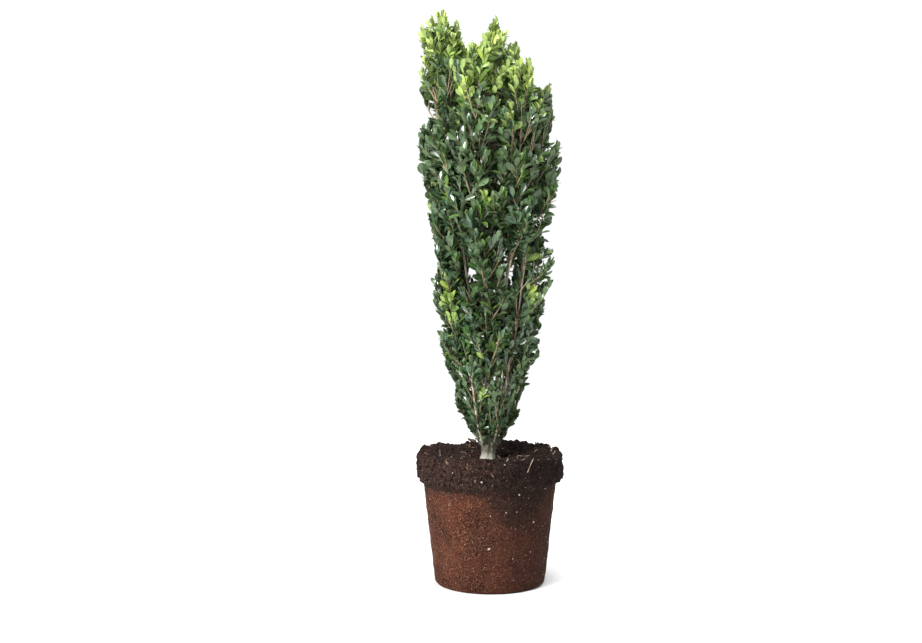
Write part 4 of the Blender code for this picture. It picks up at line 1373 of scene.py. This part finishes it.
def spray_shade(tip):
    """The shade of a spray, by where its tip is."""
    height = tip[2] - SOIL_LEVEL
    near_top = (height - NEW_GROWTH) / NEW_GROWTH_FADE + rule.normal(0, 0.45)
    near_top += np.interp(tip[0], (-0.06, 0.0), (-0.35, 0.30))
    if near_top > 0.9:
        return rule.choice([7, 8], p=[0.55, 0.45])
    if near_top > 0:
        return rule.choice([5, 6, 7], p=[0.25, 0.40, 0.35])
    if tip[1] < -0.03 and np.hypot(*(FRESH_SPOTS - tip[[0, 2]]).T).min() < FRESH_SPOT_SIZE:
        return rule.choice([5, 6])
    shares = HIGH_SHARES if height > HIGH_ZONE else LOW_SHARES if height < LOW_ZONE else MIDDLE_SHARES
    return rule.choice(8, p=shares)


def leaf_shade(shade, leaves):
    """Each leaf's shade. An old spray has some dark leaves at random, more deep inside the crown as painted
    shade, and a few with the painted sheen.
    """
    mood = rule.random(len(leaves.ages))
    if shade >= FRESH_FROM:
        return shade - (leaves.ages > 0.6) * (mood < 0.6) - (leaves.ages > 0.9)
    # Painted shade: the deeper inside the crown a leaf sits, the likelier it is to get the deepest shade.
    shaded = 0.14 + 0.8 * smooth_step(depth_below(leaves.roots), 0.016, 0.045)
    # Shade 1 on the next line is the painted sheen.
    return np.where(mood < shaded, 0, np.where(mood > 0.84, 1, shade))


def leaf_mesh_points(roots, frames, lengths):
    """The points of all the leaves, each with its own width, fold and curl."""
    sizes = (len(roots), 1)
    across, along, below = leaf_points.T
    half_width = lengths * LEAF_ASPECT / 2 * rule.uniform(0.9, 1.12, sizes)
    fold, curl = rule.uniform(0.10, 0.42, sizes), rule.normal(0.10, 0.09, sizes)
    x = across * half_width
    y = along * lengths * (1 - 0.15 * np.abs(curl) * along)
    z = np.abs(across) * half_width * fold - curl * lengths * along**2 + below * LEAF_THICKNESS * lengths
    return roots[:, None] + np.stack([x, y, z], axis=-1) @ frames.transpose(0, 2, 1)


LEAF_THICKNESS = 0.010  # of its length
rule = np.random.default_rng(11)
for number, mass in enumerate(MASSES):
    groups = [leaves for leaves in placed if leaves.number == number]
    shades = [leaf_shade(spray_shade(shoots[leaves.spray].path[-1]), leaves) for leaves in groups]
    shades = np.concatenate(shades)
    roots = np.concatenate([leaves.roots for leaves in groups])
    frames = np.concatenate([leaves.frames for leaves in groups])
    lengths = np.concatenate([leaves.lengths for leaves in groups])
    points = leaf_mesh_points(roots, frames, lengths[:, None])
    fresh = (shades >= FRESH_FROM).astype(int)
    kinds = np.stack([shades, len(SHADES) + fresh, len(SHADES) + 2 + fresh])[leaf_parts].T.ravel()
    faces = copied(len(roots), len(leaf_points), leaf_faces)
    name = f"leaves_{mass.name}"
    add_arrays(name, points, faces, leaf_materials, kinds, [f"foliage_{mass.name}"])

# %% [markdown]
# ## Twigs
#
# Twigs are thin tubes along the branches and shoots, brown where they are old and
# green where they are new. They are joined by tier, each with plain colours too.

# %% Twigs
FOOT_LENGTHS, FOOT_RADII = (0.012, 0.09), (0.00055, 0.00115)  # a longer twig is thicker at its foot
OLD_TWIG_LENGTH, GREEN_TWIG_HEIGHT = 0.040, 0.68
TWIG_COLOURS = [
    ("tan", 0.7, (0.30, 0.235, 0.145)),
    ("olive", 0.6, (0.150, 0.130, 0.060)),
    ("green", 0.55, (0.20, 0.27, 0.08)),
]
twig_materials = [new_material(f"twig_{name}", *finish)[0] for name, *finish in TWIG_COLOURS]
for tier in ("low", "middle", "high"):
    tier_numbers = [number for number, mass in enumerate(MASSES) if mass.name.startswith(tier)]
    chosen = [shoot for shoot in shoots if shoot.number in tier_numbers and len(shoot.path) == len(SHARES)]
    paths = np.array([shoot.path for shoot in chosen])
    lengths = np.array([path_length(path) for path in paths])
    radii = np.interp(lengths, FOOT_LENGTHS, FOOT_RADII)[:, None] * np.linspace(1.15, 0.55, paths.shape[1])
    kinds = np.where(lengths > OLD_TWIG_LENGTH, 0, 1)
    kinds = np.where(paths[:, -1, 2] > SOIL_LEVEL + GREEN_TWIG_HEIGHT, 2, kinds)
    add_tubes(f"twigs_{tier}", paths, radii, twig_materials, kinds)

# %% [markdown]
# ## Triangle count
#
# The finished plant may not outgrow the solid model. The triangles of every shown
# piece are added up.

# %% Triangle count
bpy.context.view_layer.update()
total = sum(len(face.vertices) - 2 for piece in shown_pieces() for face in piece.data.polygons)
